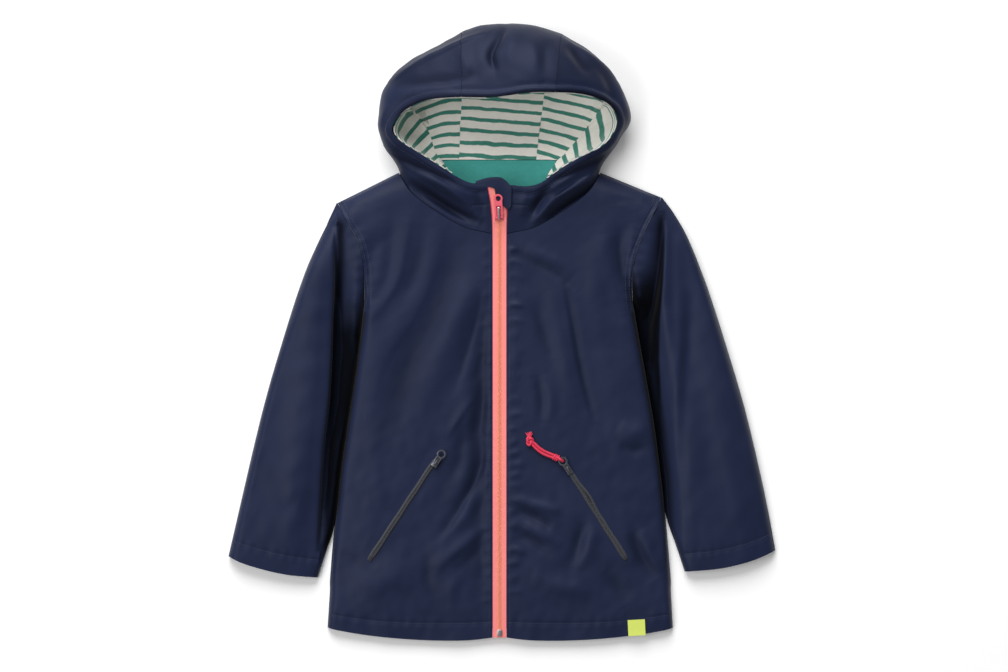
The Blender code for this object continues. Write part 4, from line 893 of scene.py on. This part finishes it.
# %% The hood's three panels
HEAD = Vector((4.0, 650.0, 8.0))    # the middle of the head's hollow
RIM_ROLL = 8.0          # mm from the edge to the hem's furrow
HOOD_GAIN = 1.3         # all creases of the hood are raised by this
# Painted shade on the crown, under the turned edge and in the troughs of the hood and collar.
CROWN_DARK, EDGE_DARK, HOOD_TROUGH_DARK, COLLAR_TROUGH_DARK = 0.24, 0.7, 0.3, 0.5
hood = []
for node, name in (("hood_right", "hood_side_right"), ("hood_centre", "hood_crown_strip"),
                   ("hood_left", "hood_side_left")):
    shell = panel(node, name, 3, coated)

    def fold(x, y, z):
        distance = np.abs(nearest(bent(RIM), x, y)[0])
        outside = smooth((z - 12) / 14)
        roll = 1.3 * np.sin(np.pi * np.clip(distance / RIM_ROLL, 0, 1)) ** 0.8
        roll -= 1.0 * np.exp(-((distance - RIM_ROLL - 2) / 3.2) ** 2)
        roll += 0.1 * np.sin(np.arctan2(y - 640, x - 4) * 37) * np.exp(
            -((distance - RIM_ROLL) / 6) ** 2)
        lift = HOOD_GAIN * creased(HOOD_CREASES, x, y) + roll + 0.7 * uneven(x, y, 60, 7)
        lift += 0.3 * uneven(x, y, 24, 8)
        lift *= outside
        crown = smooth((y - 596) / 30)
        away = np.stack([x - HEAD.x, y - HEAD.y, z - HEAD.z], axis=1)
        away /= np.linalg.norm(away, axis=1)[:, None]
        flat = HOOD_GAIN * creased(COLLAR_CREASES, x, y) + sewn(COLLAR_STITCH, x, y)
        flat += 0.5 * uneven(x, y, 40, 2)
        flat = (flat + roll * 0.8) * smooth((np.abs(x) - 12) / 8) * smooth((z - 5) / 8)
        return away * (lift * crown)[:, None] + upward(flat * (1 - crown))

    # Painted shade: the crown a little darker against the light on its slope, a band under the
    # turned edge, and the troughs.
    def dark(x, y, z):
        edge = np.exp(-(nearest(bent(RIM), x, y)[0] / 4.2) ** 2) * smooth((y - 640) / 25)
        trough = np.clip(-creased(HOOD_CREASES, x, y) / 3.5, 0, 1) * smooth((y - 600) / 20)
        collar = np.clip(-creased(COLLAR_CREASES, x, y) / 6.5, 0, 1) * smooth((630 - y) / 30)
        return (CROWN_DARK * smooth((y - 680) / 25) + EDGE_DARK * edge
                + HOOD_TROUGH_DARK * trough + COLLAR_TROUGH_DARK * collar)

    press(shell, fold)
    shaded(shell, dark)
    hood.append(shell)

# %% Chin guard
guard = panel("chin_guard", "chin_guard_flap", 3, coated)
GUARD_REACH = 24.0      # mm that the flap's upper end runs on to the wearer's right


def arch(x, y, z):
    """Stretches the flap's upper end into an arch over the top of the zip."""
    share = smooth((y - 563) / 8) * np.clip((2 - x) / 12, 0, 1)
    along = -share * GUARD_REACH
    bend = (along / GUARD_REACH) ** 2
    corner = smooth((y - 556) / 20) * np.clip((x + 4) / 20, 0, 1) ** 2
    return np.stack([along, -8.0 * bend - 7.0 * corner, -2.5 * bend], axis=1)


press(guard, arch)

# %% [markdown]
# ## Finish of the jersey lining
#
# The hood is lined with cotton jersey, brushed inside: a matt, slightly fuzzy knit in
# cream with uneven green stripes, as if drawn with a broad pen, and a plain teal band at
# the neck. A stripe follows its own panel, so each panel carries a stripe count at every
# point, and the shader only asks how far that count is from a whole number. The real
# knit has wales of 0.9 mm; they are drawn at 1.6 mm so that they show.

# %% Striped and plain jersey
WALE = 1.6


def jersey(name, ground, other, striped):
    material, shader = finish_of(name, ground, 0.88, Specular_IOR_Level=0.25,
                                 Sheen_Weight=0.35, Sheen_Roughness=0.6)
    spot = add(material, "TexCoord")
    fuzz = add(material, "TexNoise", {"Vector": spot.outputs["Object"],
                                      "Scale": 1 / (7 * MM), "Detail": 4.0})
    wales = add(material, "TexWave", {"Vector": spot.outputs["Object"],
                                      "Scale": 1 / (WALE * MM) / 20 * math.pi,
                                      "Distortion": 2.5, "Detail": 2.0,
                                      "Detail Scale": 2.0},
                bands_direction="DIAGONAL")
    base = add(material, "Mix", {0: fuzz.outputs[0], 6: tone(ground), 7: tone(other)},
               data_type="RGBA")
    colour = base.outputs[2]
    if striped:
        count = add(material, "Attribute", attribute_name="stripe")
        shake = add(material, "TexNoise", {"Vector": spot.outputs["Object"],
                                           "Scale": 1 / (26 * MM), "Detail": 3.0})
        shaken = add(material, "MapRange", {"Value": shake.outputs[0],
                                            "To Min": -0.2, "To Max": 0.2})
        moved = add(material, "Math", {0: count.outputs["Fac"], 1: shaken.outputs[0]},
                    operation="ADD")
        wave = add(material, "Math", {0: moved.outputs[0], 1: 0.5}, operation="ADD")
        part = add(material, "Math", {0: wave.outputs[0]}, operation="FRACT")
        centred = add(material, "Math", {0: part.outputs[0], 1: 0.5},
                      operation="SUBTRACT")
        off = add(material, "Math", {0: centred.outputs[0]}, operation="ABSOLUTE")
        ink = add(material, "MapRange", {"Value": off.outputs[0], "From Min": 0.19,
                                         "From Max": 0.145})
        green = add(material, "Mix", {0: fuzz.outputs[0], 6: tone("#357F70"),
                                      7: tone("#459080")}, data_type="RGBA")
        both = add(material, "Mix", {0: ink.outputs[0], 6: colour,
                                     7: green.outputs[2]}, data_type="RGBA")
        colour = both.outputs[2]
    wire(material, colour, shader.inputs["Base Color"])
    knit = add(material, "Bump", {"Height": wales.outputs[0], "Strength": 0.35,
                                  "Distance": 0.3 * MM})
    nap = add(material, "Bump", {"Height": fuzz.outputs[0], "Strength": 0.3,
                                 "Distance": 0.8 * MM, "Normal": knit.outputs[0]})
    folds = add(material, "TexNoise", {"Vector": spot.outputs["Object"],
                                       "Scale": 1 / (20 * MM), "Distortion": 0.6})
    soft = add(material, "Bump", {"Height": folds.outputs[0], "Strength": 0.5,
                                  "Distance": 3.0 * MM, "Normal": nap.outputs[0]})
    wire(material, soft.outputs[0], shader.inputs["Normal"])
    return material


striped_jersey = jersey("brushed_striped_jersey", "#FBF8F2", "#F0EBE2", True)
teal_jersey = jersey("brushed_teal_jersey", "#45A9A1", "#3B9990", False)
print("jersey is ready")

# %% [markdown]
# ## Lining
#
# Each panel's stripes are given as a few points with their stripe number. A smooth
# surface fitted through those numbers gives the count anywhere on the panel. Where two
# pieces of the lining are sewn together, their edges are drawn to each other.

# %% Stripe counts of the lining's panels
STRIPES = {
    "hood_lining_centre": [
        [(-44, 667.6), (-25, 662.6), (25, 661), (58, 660)],
        [(-44, 652.6), (-27, 650), (25, 647), (56, 645)],
        [(-46, 639), (-4, 637.5), (25, 633), (50, 631)],
        [(-48, 622.4), (-7, 623), (25, 617), (47, 617.4)],
        [(-51, 606.3), (-10, 605.7), (7, 603), (25, 605), (45, 603)]],
    "hood_lining_right": [
        [(-46.7, 675), (-82.4, 670), (-105, 662), (-117, 653), (-127, 643)],
        [(-46.7, 661), (-71, 659), (-87, 653), (-99, 648)],
        [(-47, 649), (-67, 647), (-77, 641), (-85, 637.5)],
        [(-48, 634), (-64.6, 632), (-72, 630), (-80, 633)],
        [(-51, 617), (-64.6, 616), (-71, 620), (-82, 623.6)]],
    "hood_lining_left": [
        [(61, 676), (84, 670), (104, 667.6), (120, 664)],
        [(59.7, 666.5), (90, 658.7), (115.5, 651)],
        [(58, 652.6), (90, 642), (103.8, 637)],
        [(55, 637.5), (84, 630), (95.5, 626)],
        [(50, 623), (67.6, 622), (84, 616)],
        [(47, 609.6), (62, 607.4), (76.5, 604)]],
    "hood_facing_right": [
        [(-104.8, 645), (-114.8, 632), (-119.3, 620)],
        [(-90.3, 634), (-101.4, 627.5), (-107, 614)],
        [(-82.4, 623), (-91.4, 616), (-97, 608.5)],
        [(-76.9, 606), (-83.6, 600)]],
    "hood_facing_left": [
        [(125.6, 658.7), (127.8, 642), (132.3, 617)],
        [(109.4, 639.7), (111, 624), (115, 606)],
        [(94.3, 622), (97.7, 610.7), (98.8, 600.7)],
        [(81.5, 609.6), (82.6, 596)]],
}


# %% Numbers of the stripes
STEEP_FROM, STRIPE_RISE = 30.0, 16.0    # mm: above this height one stripe takes this much height
STIFFNESS = 0.02        # keeps the curved terms of the surface small


def terms(x, y):
    """The surface's terms: flat, tilted and curved. Both places are scaled to about 1."""
    u, v = x / 50, (y - 640) / 30
    return np.stack([np.ones_like(u), u, v, u * v, u * u, v * v], axis=1)


def number_stripes(piece, stripes):
    """Writes the stripe count of every point."""
    spots = np.array([(x, y, number) for number, line in enumerate(stripes) for x, y in line])
    design = terms(spots[:, 0], spots[:, 1])
    keep = np.diag([0, 0, 0, STIFFNESS, STIFFNESS, STIFFNESS])
    fit = np.linalg.solve(design.T @ design + keep, design.T @ spots[:, 2])
    x, y, z = points_of(piece).T
    count = terms(x, y) @ fit - np.maximum(z - STEEP_FROM, 0) / STRIPE_RISE
    write_on(piece, "stripe", count)
    print(piece.name, "stripes", round(float(count.min()), 1), round(float(count.max()), 1))


lining = []
for node, stripes in STRIPES.items():
    piece = panel(node, node + "_jersey", 2, striped_jersey)
    number_stripes(piece, stripes)
    lining.append(piece)
neck_band = panel("neck_facing", "neck_facing_jersey", 3, teal_jersey)


# %% Sewing the lining together
def tree_of(piece):
    """A piece's faces, sorted for finding the nearest one."""
    bm = bmesh.new()
    bm.from_mesh(piece.data)
    tree = BVHTree.FromBMesh(bm)
    bm.free()
    return tree


EDGE_LAP = 0.3          # mm that two joined edges run into each other


def join_edges(first, second, gap, reach):
    """Draws the edges of two pieces together where they are less than gap apart, in mm."""
    trees = [tree_of(first), tree_of(second)]
    for piece, own, other in ((first, *trees), (second, *trees[::-1])):
        for vert in piece.data.vertices:
            there = other.find_nearest(vert.co, (gap + reach) * MM)[0]
            here = there and own.find_nearest(there)[0]
            if here and 1e-6 < (there - here).length < gap * MM:
                run = there - here
                far = ((vert.co - there).length - run.length) / MM
                vert.co += run.normalized() * ((run.length / 2 + EDGE_LAP * MM)
                                               * float(smooth(1 - far / reach)))
        piece.data.update()


pieces = {piece.name: piece for piece in lining}
for hand in ("right", "left"):
    facing = pieces[f"hood_facing_{hand}_jersey"]
    side_lining = pieces[f"hood_lining_{hand}_jersey"]
    join_edges(pieces["hood_lining_centre_jersey"], side_lining, 14.0, 12.0)
    join_edges(facing, side_lining, 15.0, 14.0)
    join_edges(facing, neck_band, 5.0, 8.0)
LINING_LIFT = 0.9       # mm, loose jersey on the steep parts
for piece in lining[1:]:
    press(piece, lambda x, y, z: upward(LINING_LIFT * uneven(x, y, 22, 12)
                                        * smooth((z - 10) / 10)))

# %% [markdown]
# ## Zips
#
# The main zip is a nylon coil zip on woven tape, dyed coral: the tape is a dense ribbed
# weave, pinker where it goes under the cloth, and the coil in the middle is a row of
# smooth loops in a sandier shade. A coil is the same small loop hundreds of times, so one
# capsule of a few dozen faces is stamped along the line, left and right in turn.

# %% Finishes of the zips
RIB = 1.4               # mm between the tape's ribs, coarser than the real 0.6 mm


def woven_tape(name, middle, edge, outer_line, ribs):
    material, shader = finish_of(name, middle, 0.72, Sheen_Weight=0.2, Sheen_Roughness=0.5)
    across = add(material, "Attribute", attribute_name="across")
    spot = add(material, "TexCoord")
    blend = add(material, "MapRange", {"Value": across.outputs["Fac"],
                                       "From Min": 0.45, "From Max": 0.85})
    shade = add(material, "Mix", {0: blend.outputs[0], 6: tone(middle), 7: tone(edge)},
                data_type="RGBA")
    # The outermost band: on the coral tape, painted shade where the cloth's edge meets the tape.
    hem = add(material, "MapRange", {"Value": across.outputs["Fac"],
                                     "From Min": 0.90, "From Max": 0.96})
    dyed = add(material, "Mix", {0: hem.outputs[0], 6: shade.outputs[2],
                                 7: tone(outer_line)}, data_type="RGBA")
    wire(material, dyed.outputs[2], shader.inputs["Base Color"])
    rib = add(material, "TexWave", {"Vector": spot.outputs["Object"],
                                    "Scale": 1 / (RIB * MM) / 20 * math.tau,
                                    "Distortion": 0.3}, bands_direction=ribs)
    bump = add(material, "Bump", {"Height": rib.outputs[0], "Strength": 0.5,
                                  "Distance": 0.25 * MM})
    wire(material, bump.outputs[0], shader.inputs["Normal"])
    return material


# The coral tape's dark red outer line is painted shade at the cloth's edge.
coral_tape = woven_tape("coral_woven_zip_tape", "#FA8C7E", "#F98990", "#C9484F", "Y")
# The black tape's middle is near black, both its own colour and painted shade in the slit; its
# lighter edge colour, which the lips take, is painted highlight on their folds.
black_tape = woven_tape("black_woven_zip_tape", "#17181C", "#33353C", "#33353C", "DIAGONAL")
coral_coil, _ = finish_of("coral_nylon_coil", "#EC9878", 0.5, Coat_Weight=0.1)
black_coil, _ = finish_of("black_nylon_coil", "#2E3036", 0.46, Coat_Weight=0.1)
for material in (coral_coil, black_coil):
    spot = add(material, "TexCoord")
    moulded = add(material, "TexNoise", {"Vector": spot.outputs["Object"],
                                         "Scale": 1 / (2.0 * MM)})
    bump = add(material, "Bump", {"Height": moulded.outputs[0], "Strength": 0.15,
                                  "Distance": 0.1 * MM})
    wire(material, bump.outputs[0],
         material.node_tree.nodes["Principled BSDF"].inputs["Normal"])


def number_across(piece, outward):
    """Writes how far each point lies from the zip's middle, 0 to 1."""
    write_on(piece, "across", outward(*points_of(piece).T))


# %% Tapes of the main zip
ZIP_TOP, LEAN, LEAN_FROM = 567.0, -6.4, 522.0


def lean(y):
    """How far the zip leans to the wearer's right at a height, in mm."""
    return LEAN * max(0.0, (y - LEAN_FROM) / (ZIP_TOP - LEAN_FROM)) ** 2


lean_of = np.vectorize(lean)
tapes = []
for side, hand in ((-1, "right"), (1, "left")):
    tape = panel(f"zip_tape_{hand}", f"zip_tape_woven_{hand}", 2, coral_tape)
    number_across(tape, lambda x, y, z: np.abs(x - lean_of(y)) / 9.0)
    tapes.append(tape)


# %% Coil of the main zip
def capsule(length, width, height):
    """One rounded stamp of a few dozen faces, along X."""
    bm = bmesh.new()
    bmesh.ops.create_uvsphere(bm, u_segments=8, v_segments=5, radius=0.5)
    bmesh.ops.rotate(bm, verts=bm.verts, matrix=Matrix.Rotation(math.pi / 2, 3, "Y"))
    bmesh.ops.scale(bm, verts=bm.verts, vec=(length * MM, width * MM, height * MM))
    return mesh_of("stamp", bm)


def stamped(name, stamp, matrices, material, body="garment"):
    """One piece made of the same small shape at many places."""
    bm = bmesh.new()
    for matrix in matrices:
        stamp.transform(matrix)
        bm.from_mesh(stamp)
        stamp.transform(matrix.inverted())
    print(name, "stamps", len(matrices))
    return new_piece(name, mesh_of(name, bm, 180), material, body)


def standing(point, across, up):
    """A frame at a point with X along across and Z off the surface."""
    y_axis = up.cross(across).normalized()
    x_axis = y_axis.cross(up).normalized()
    matrix = Matrix((x_axis, y_axis, up)).transposed().to_4x4()
    matrix.translation = point
    return matrix


bpy.context.view_layer.update()
SLIDER_SPAN = (525.5, 543.5)
COIL_FROM, COIL_TO, COIL_STEP = 12.0, 566.0, 0.82
matrices = []
for i in range(math.ceil((COIL_TO - COIL_FROM) / COIL_STEP)):
    y = COIL_FROM + i * COIL_STEP
    side = -1 if i % 2 else 1
    found = drop_on(tapes, lean(y) + side * 1.4, y)
    if found and not SLIDER_SPAN[0] < y < SLIDER_SPAN[1]:
        shift = found[1] * (0.15 * MM) + Vector((-side * 0.5 * MM, 0, 0))
        matrices.append(standing(found[0] + shift, Vector((1, 0, 0)), found[1]))
stamped("zip_coil", capsule(3.0, 0.95, 1.1), matrices, coral_coil)

# %% Pocket zips
TUCKED = 0.5            # share of the tape's width that is folded away
POCKET_STEP = 1.05      # mm between the loops of a pocket's coil
for pocket in POCKETS:
    strip = panel(f"pocket_zip_{pocket.hand}", f"pocket_tape_{pocket.hand}", 2, black_tape)
    line = [pocket.top, pocket.bottom]
    slope = (Vector(pocket.bottom) - Vector(pocket.top)).normalized()

    def narrow(x, y, z):
        """Folds the tape's edges in under the lips."""
        off = (x - pocket.top[0]) * slope.y - (y - pocket.top[1]) * slope.x
        move = -off * TUCKED
        return np.stack([move * slope.y, -move * slope.x, np.zeros_like(move)], axis=1)

    press(strip, narrow)
    number_across(strip, lambda x, y, z: np.abs(nearest(line, x, y)[0]) / 4.0)
    bpy.context.view_layer.update()
    top, bottom = Vector((*pocket.top, 0)), Vector((*pocket.bottom, 0))
    run = (bottom - top).normalized()
    across = Vector((-run.y, run.x, 0))
    matrices = []
    for i, (point, _) in enumerate(even_steps([top + run * 3, bottom - run * 2], POCKET_STEP)):
        side = -1 if i % 2 else 1
        found = drop_on([strip], point.x, point.y)
        if found:
            matrices.append(standing(found[0] + across * (side * 0.35 * MM), across, found[1]))
    stamped(f"pocket_coil_{pocket.hand}", capsule(2.3, 0.9, 0.9), matrices, black_coil)

# %% [markdown]
# The front is slit for each pocket zip, and its edges are bound with the same black tape.
# They show as two thin lips, close together at the top and further apart towards the
# bottom. A flat grid is bent over a profile: up onto the tape, round the fold and down
# to the front.

# %% Lips of the pockets
# Steps across a lip: distance past its inner edge, and height over the front.
LIP = [(0.5, 1.3), (0.0, 1.5), (0.05, 1.8), (0.4, 2.0), (0.85, 1.85), (1.4, 1.25), (1.85, 0.5),
       (2.1, -0.4)]
LIP_STEPS = 48
LIP_ACROSS = 0.9        # a lip takes the tape's lighter edge colour: painted highlight on its fold
SAG = 2.0               # mm that the left pocket's upper lip hangs open


def lip(name, line, hand, opening, sag):
    """One bound edge beside a zip: its distance from the middle at both ends, and its sag."""
    start, end = (Vector((*point, 0)) for point in line)
    run = (end - start).normalized()
    start, end = start - run * 1.5, end + run * 2.0
    across = Vector((-run.y, run.x, 0)) * hand
    bm = bmesh.new()
    bmesh.ops.create_grid(bm, x_segments=LIP_STEPS, y_segments=len(LIP) - 1, size=0.5)
    for vert in bm.verts:
        share = vert.co.x + 0.5
        step = round((vert.co.y + 0.5) * (len(LIP) - 1))
        out, height = LIP[step]
        closing = min(1.0, min(share, 1 - share) * 14) ** 0.5
        inner = (opening[0] + (opening[1] - opening[0]) * share) * closing
        inner += 0.2 * math.sin(share * 23 + hand)
        inner += sag * math.sin(math.pi * min(max((share - 0.1) / 0.45, 0), 1)) ** 2
        point = start.lerp(end, share) + across * (inner + out)
        ground = in_table(drop_on(fronts, point.x, point.y)[0])[2]
        vert.co = place(point.x, point.y, ground + height * (0.45 + 0.55 * closing))
    if hand > 0:
        bmesh.ops.reverse_faces(bm, faces=bm.faces)
    piece = new_piece(name, mesh_of(name, bm), black_tape)
    number_across(piece, lambda x, y, z: LIP_ACROSS + 0 * x)
    wall = piece.modifiers.new("Wall", "SOLIDIFY")
    wall.thickness = 0.5 * MM
    wall.offset = -1.0
    rounder = piece.modifiers.new("Smooth", "SUBSURF")
    rounder.levels = rounder.render_levels = 1
    return piece


lips = []
for pocket in POCKETS:
    for hand, side in ((1, "upper"), (-1, "lower")):
        lips.append(lip(f"pocket_lip_{side}_{pocket.hand}", (pocket.top, pocket.bottom), hand,
                        (0.8, 1.3), SAG if (hand, pocket.hand) == (1, "left") else 0.0))
print("pocket lips", len(lips))

# %% [markdown]
# ## Sliders and pulls
#
# Sliders are die-cast zinc: the main one enamelled coral with a bare nickel bridge, the
# pocket ones dipped black. Casting and enamel round every edge, so the CAD shapes are
# merged, their flat facets joined, and their edges bevelled by a third of a millimetre.

# %% Finishes of the metal
def metal(name, colour, roughness, **constants):
    material, shader = finish_of(name, colour, roughness, **constants)
    spot = add(material, "TexCoord")
    worn = add(material, "TexNoise", {"Vector": spot.outputs["Object"],
                                      "Scale": 1 / (3.0 * MM), "Detail": 3.0})
    rough = add(material, "MapRange", {"Value": worn.outputs[0],
                                       "To Min": roughness - 0.07,
                                       "To Max": roughness + 0.10})
    wire(material, rough.outputs[0], shader.inputs["Roughness"])
    bump = add(material, "Bump", {"Height": worn.outputs[0], "Strength": 0.12,
                                  "Distance": 0.12 * MM})
    wire(material, bump.outputs[0], shader.inputs["Normal"])
    return material


coral_enamel = metal("coral_enamel_on_zinc", "#F5677A", 0.30, Coat_Weight=0.5,
                     Coat_Roughness=0.15)
nickel = metal("nickel_plated_zinc", "#C9CBCE", 0.28, Metallic=1.0)
black_nickel = metal("black_nickel_plate", "#6E7078", 0.26, Metallic=0.85)

# %% Rounded hardware
# CAD node, piece, finish, slot, body and bevel in mm.
HARDWARE = [
    ("zip_slider", "zip_slider_plate", coral_enamel, "coral_enamel", "garment", 0.35),
    ("zip_bridge", "zip_slider_bridge", nickel, "silver_metal", "garment", 0.28),
    ("zip_pull", "zip_pull_tab", coral_enamel, "coral_enamel", "zip_pull", 0.30),
    ("zip_box", "zip_box_block", nickel, "silver_metal", "garment", 0.35),
]
for hand in ("right", "left"):
    HARDWARE += [
        (f"pocket_slider_{hand}", f"pocket_slider_plate_{hand}", black_nickel, "black_metal",
         "garment", 0.30),
        (f"pocket_bridge_{hand}", f"pocket_slider_bridge_{hand}", black_nickel, "black_metal",
         "garment", 0.25),
        (f"pocket_pull_{hand}", f"pocket_pull_tab_{hand}", black_nickel, "black_metal",
         f"pocket_pull_{hand}", 0.28),
    ]
for node, name, material, slot, body, bevel in HARDWARE:
    bm = bmesh.new()
    bm.from_mesh(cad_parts[node].data)
    bmesh.ops.remove_doubles(bm, verts=bm.verts, dist=2e-6)
    bmesh.ops.dissolve_limit(bm, angle_limit=math.radians(4), verts=bm.verts, edges=bm.edges)
    edges = [e for e in bm.edges if len(e.link_faces) == 2 and e.calc_face_angle() > 0.6]
    bmesh.ops.bevel(bm, geom=edges, offset=bevel * MM, offset_type="OFFSET", affect="EDGES",
                    segments=3, profile=0.5, material=-1, clamp_overlap=True)
    bmesh.ops.triangulate(bm, faces=[f for f in bm.faces if len(f.verts) > 4])
    piece = new_piece(name, mesh_of(name, bm, 32), material, body)
    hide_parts(node)
print("hardware pieces", len(HARDWARE))

# %% [markdown]
# ## Label
#
# A short loop of woven ribbon is folded over the hem near the left side. It is bare.
# Satin ribbon has fine ribs across and a tight edge on both sides.

# %% Ribbon label
ribbon, ribbon_shader = finish_of("woven_satin_ribbon", "#DDEB6A", 0.5, Sheen_Weight=0.3,
                                  Sheen_Roughness=0.35)
spot = add(ribbon, "TexCoord")
ribs = add(ribbon, "TexWave", {"Vector": spot.outputs["Object"],
                               "Scale": 1 / (1.3 * MM) / 20 * math.tau},
           bands_direction="Y")
# Lighter on the ribs' crests and darker in their troughs, with the bump: painted highlight and
# painted shade across the ribs.
shade = add(ribbon, "Mix", {0: ribs.outputs[0], 6: tone("#D3E25C"), 7: tone("#E4F079")},
            data_type="RGBA")
wire(ribbon, shade.outputs[2], ribbon_shader.inputs["Base Color"])
bump = add(ribbon, "Bump", {"Height": ribs.outputs[0], "Strength": 0.4,
                            "Distance": 0.2 * MM})
wire(ribbon, bump.outputs[0], ribbon_shader.inputs["Normal"])
panel("hem_label", "hem_label_ribbon", 2, ribbon)

# %% [markdown]
# ## Stitches
#
# Every seam and hem is sewn with navy thread in stitches of about 3 mm. A stitch is a
# tiny capsule that lies in the seam's furrow. They are stamped along lines dropped onto
# the finished cloth, so they follow every fold.

# %% Stitch lines
STITCH, PITCH, THREAD = 2.7, 3.5, 0.62


def offset_line(points, distance):
    """A line beside another, to the left of its heading."""
    made = []
    for i, (x, y) in enumerate(points):
        ax, ay = points[max(i - 1, 0)]
        bx, by = points[min(i + 1, len(points) - 1)]
        length = math.hypot(bx - ax, by - ay)
        made.append((x - (by - ay) / length * distance, y + (bx - ax) / length * distance))
    return made


def stitched(name, lines, pieces):
    """Stitches along lines, dropped onto the cloth of these pieces."""
    matrices = []
    for line in lines:
        for point, heading in even_steps([Vector((*p, 0)) for p in bent(line)], PITCH):
            found = drop_on(pieces, point.x, point.y)
            if found:
                along = heading - found[1] * heading.dot(found[1])
                matrices.append(standing(found[0] - found[1] * (0.08 * MM), along, found[1]))
    return stamped(name, capsule(STITCH, THREAD, THREAD), matrices, thread)


bpy.context.view_layer.update()
stitched("stitches_hem", [HEM[-1], HEM[1]], fronts)
stitched("stitches_armholes", [[(x - s * d, y) for x, y in ARMHOLE[s]] for s in (-1, 1)
                               for d in (3.0, 8.0)], fronts)
stitched("stitches_cuffs", [CUFF[-1], CUFF[1]], sleeves)
rim_line = offset_line(RIM, RIM_ROLL)
stitched("stitches_hood_rim", [rim_line], hood)
stitched("stitches_collar", [seam.points for seam in COLLAR_STITCH], hood)
stitched("stitches_zip", [[(-12.8, 500), (-12.8, 8)], [(12.8, 500), (12.8, 8)]], fronts)

# %% [markdown]
# ## Cut of the cloth
#
# Every panel's cut is listed with the size it is cut to, and its area is printed with its
# share of that rectangle. The area is measured on the finished wall, half of its surface,
# because a wall has two faces.

# %% Sheets
def half_surface(piece):
    bm = bmesh.new()
    bm.from_mesh(piece.data)
    area = sum(face.calc_area() for face in bm.faces) / 2
    bm.free()
    return area


# Width and length of each cut in metres, how it is held, and what it rests on.
CUTS = {
    "front_panel_right": (0.235, 0.600, "laid", ["back"]),
    "front_panel_left": (0.235, 0.600, "laid", ["back"]),
    "back_panel": (0.440, 0.590, "laid", []),
    "sleeve_tube_right": (0.300, 0.520, "laid", []),
    "sleeve_tube_left": (0.300, 0.520, "laid", []),
    "hood_side_right": (0.200, 0.300, "folded", ["back"]),
    "hood_crown_strip": (0.130, 0.400, "folded", []),
    "hood_side_left": (0.200, 0.300, "folded", ["back"]),
    "chin_guard_flap": (0.050, 0.080, "folded", []),
    "hood_lining_centre_jersey": (0.130, 0.300, "hung", ["hood_centre"]),
    "hood_lining_right_jersey": (0.105, 0.170, "hung", ["hood_right"]),
    "hood_lining_left_jersey": (0.105, 0.170, "hung", ["hood_left"]),
    "hood_facing_right_jersey": (0.070, 0.220, "hung", ["hood_right"]),
    "hood_facing_left_jersey": (0.070, 0.220, "hung", ["hood_left"]),
    "neck_facing_jersey": (0.145, 0.055, "laid", ["back"]),
    "zip_tape_woven_right": (0.010, 0.566, "stretched", []),
    "zip_tape_woven_left": (0.0105, 0.566, "stretched", []),
    "pocket_tape_right": (0.010, 0.149, "stretched", ["front_right"]),
    "pocket_tape_left": (0.010, 0.133, "stretched", ["front_left"]),
    "hem_label_ribbon": (0.022, 0.022, "folded", ["front_left"]),
}
for name, (width, length, held, under) in CUTS.items():
    piece = bpy.data.objects[name]
    area = half_surface(piece)
    print(name, "area", round(area, 5), "share of the rectangle", round(area / width / length, 2))

# %% [markdown]
# ## Floor and light
#
# The coat lies on a plain pale table. One large soft light comes from above its head, a
# little to the left, so that shadows fall short and soft below the hem and the cuffs. A
# weaker one from the left models the long folds. A pale surround and a faint glow of the
# paper fill the rest.

# %% Floor and light
paper, paper_shader = finish_of("matt_white_paper", "#FBFBFB", 0.9,
                                Emission_Color=tone("#FFFFFF"), Emission_Strength=0.11)
spot = add(paper, "TexCoord")
fibres = add(paper, "TexNoise", {"Vector": spot.outputs["Object"],
                                 "Scale": 1 / (60 * MM)})
shade = add(paper, "Mix", {0: fibres.outputs[0], 6: tone("#F9F9F9"),
                           7: tone("#FDFDFD")}, data_type="RGBA")
wire(paper, shade.outputs[2], paper_shader.inputs["Base Color"])
bm = bmesh.new()
bmesh.ops.create_grid(bm, x_segments=4, y_segments=4, size=4.0)
bmesh.ops.translate(bm, verts=bm.verts, vec=(0, 0, -0.5 * MM))
floor_mesh = mesh_of("floor", bm)
floor_mesh.materials.append(paper)
floor = bpy.data.objects.new("floor", floor_mesh)
bpy.context.scene.collection.objects.link(floor)

world = bpy.data.worlds.new("surround")
world.use_nodes = True
world.node_tree.nodes["Background"].inputs["Color"].default_value = tone("#FFFFFF")
world.node_tree.nodes["Background"].inputs["Strength"].default_value = 0.18
bpy.context.scene.world = world


def soft_light(name, place_at, size, power):
    """A square light of a size in metres and a power in watts that looks at the coat."""
    data = bpy.data.lights.new(name, "AREA")
    data.shape = "SQUARE"
    data.size = size
    data.energy = power
    light = bpy.data.objects.new(name, data)
    light.location = place_at
    light.rotation_euler = (-Vector(place_at)).to_track_quat("-Z", "Y").to_euler()
    bpy.context.scene.collection.objects.link(light)


soft_light("key_light", (-0.9, 4.3, 3.5), 4.4, 372.0)
soft_light("side_light", (-2.9, -0.4, 4.2), 3.0, 98.0)
bpy.context.scene.view_settings.view_transform = "Standard"
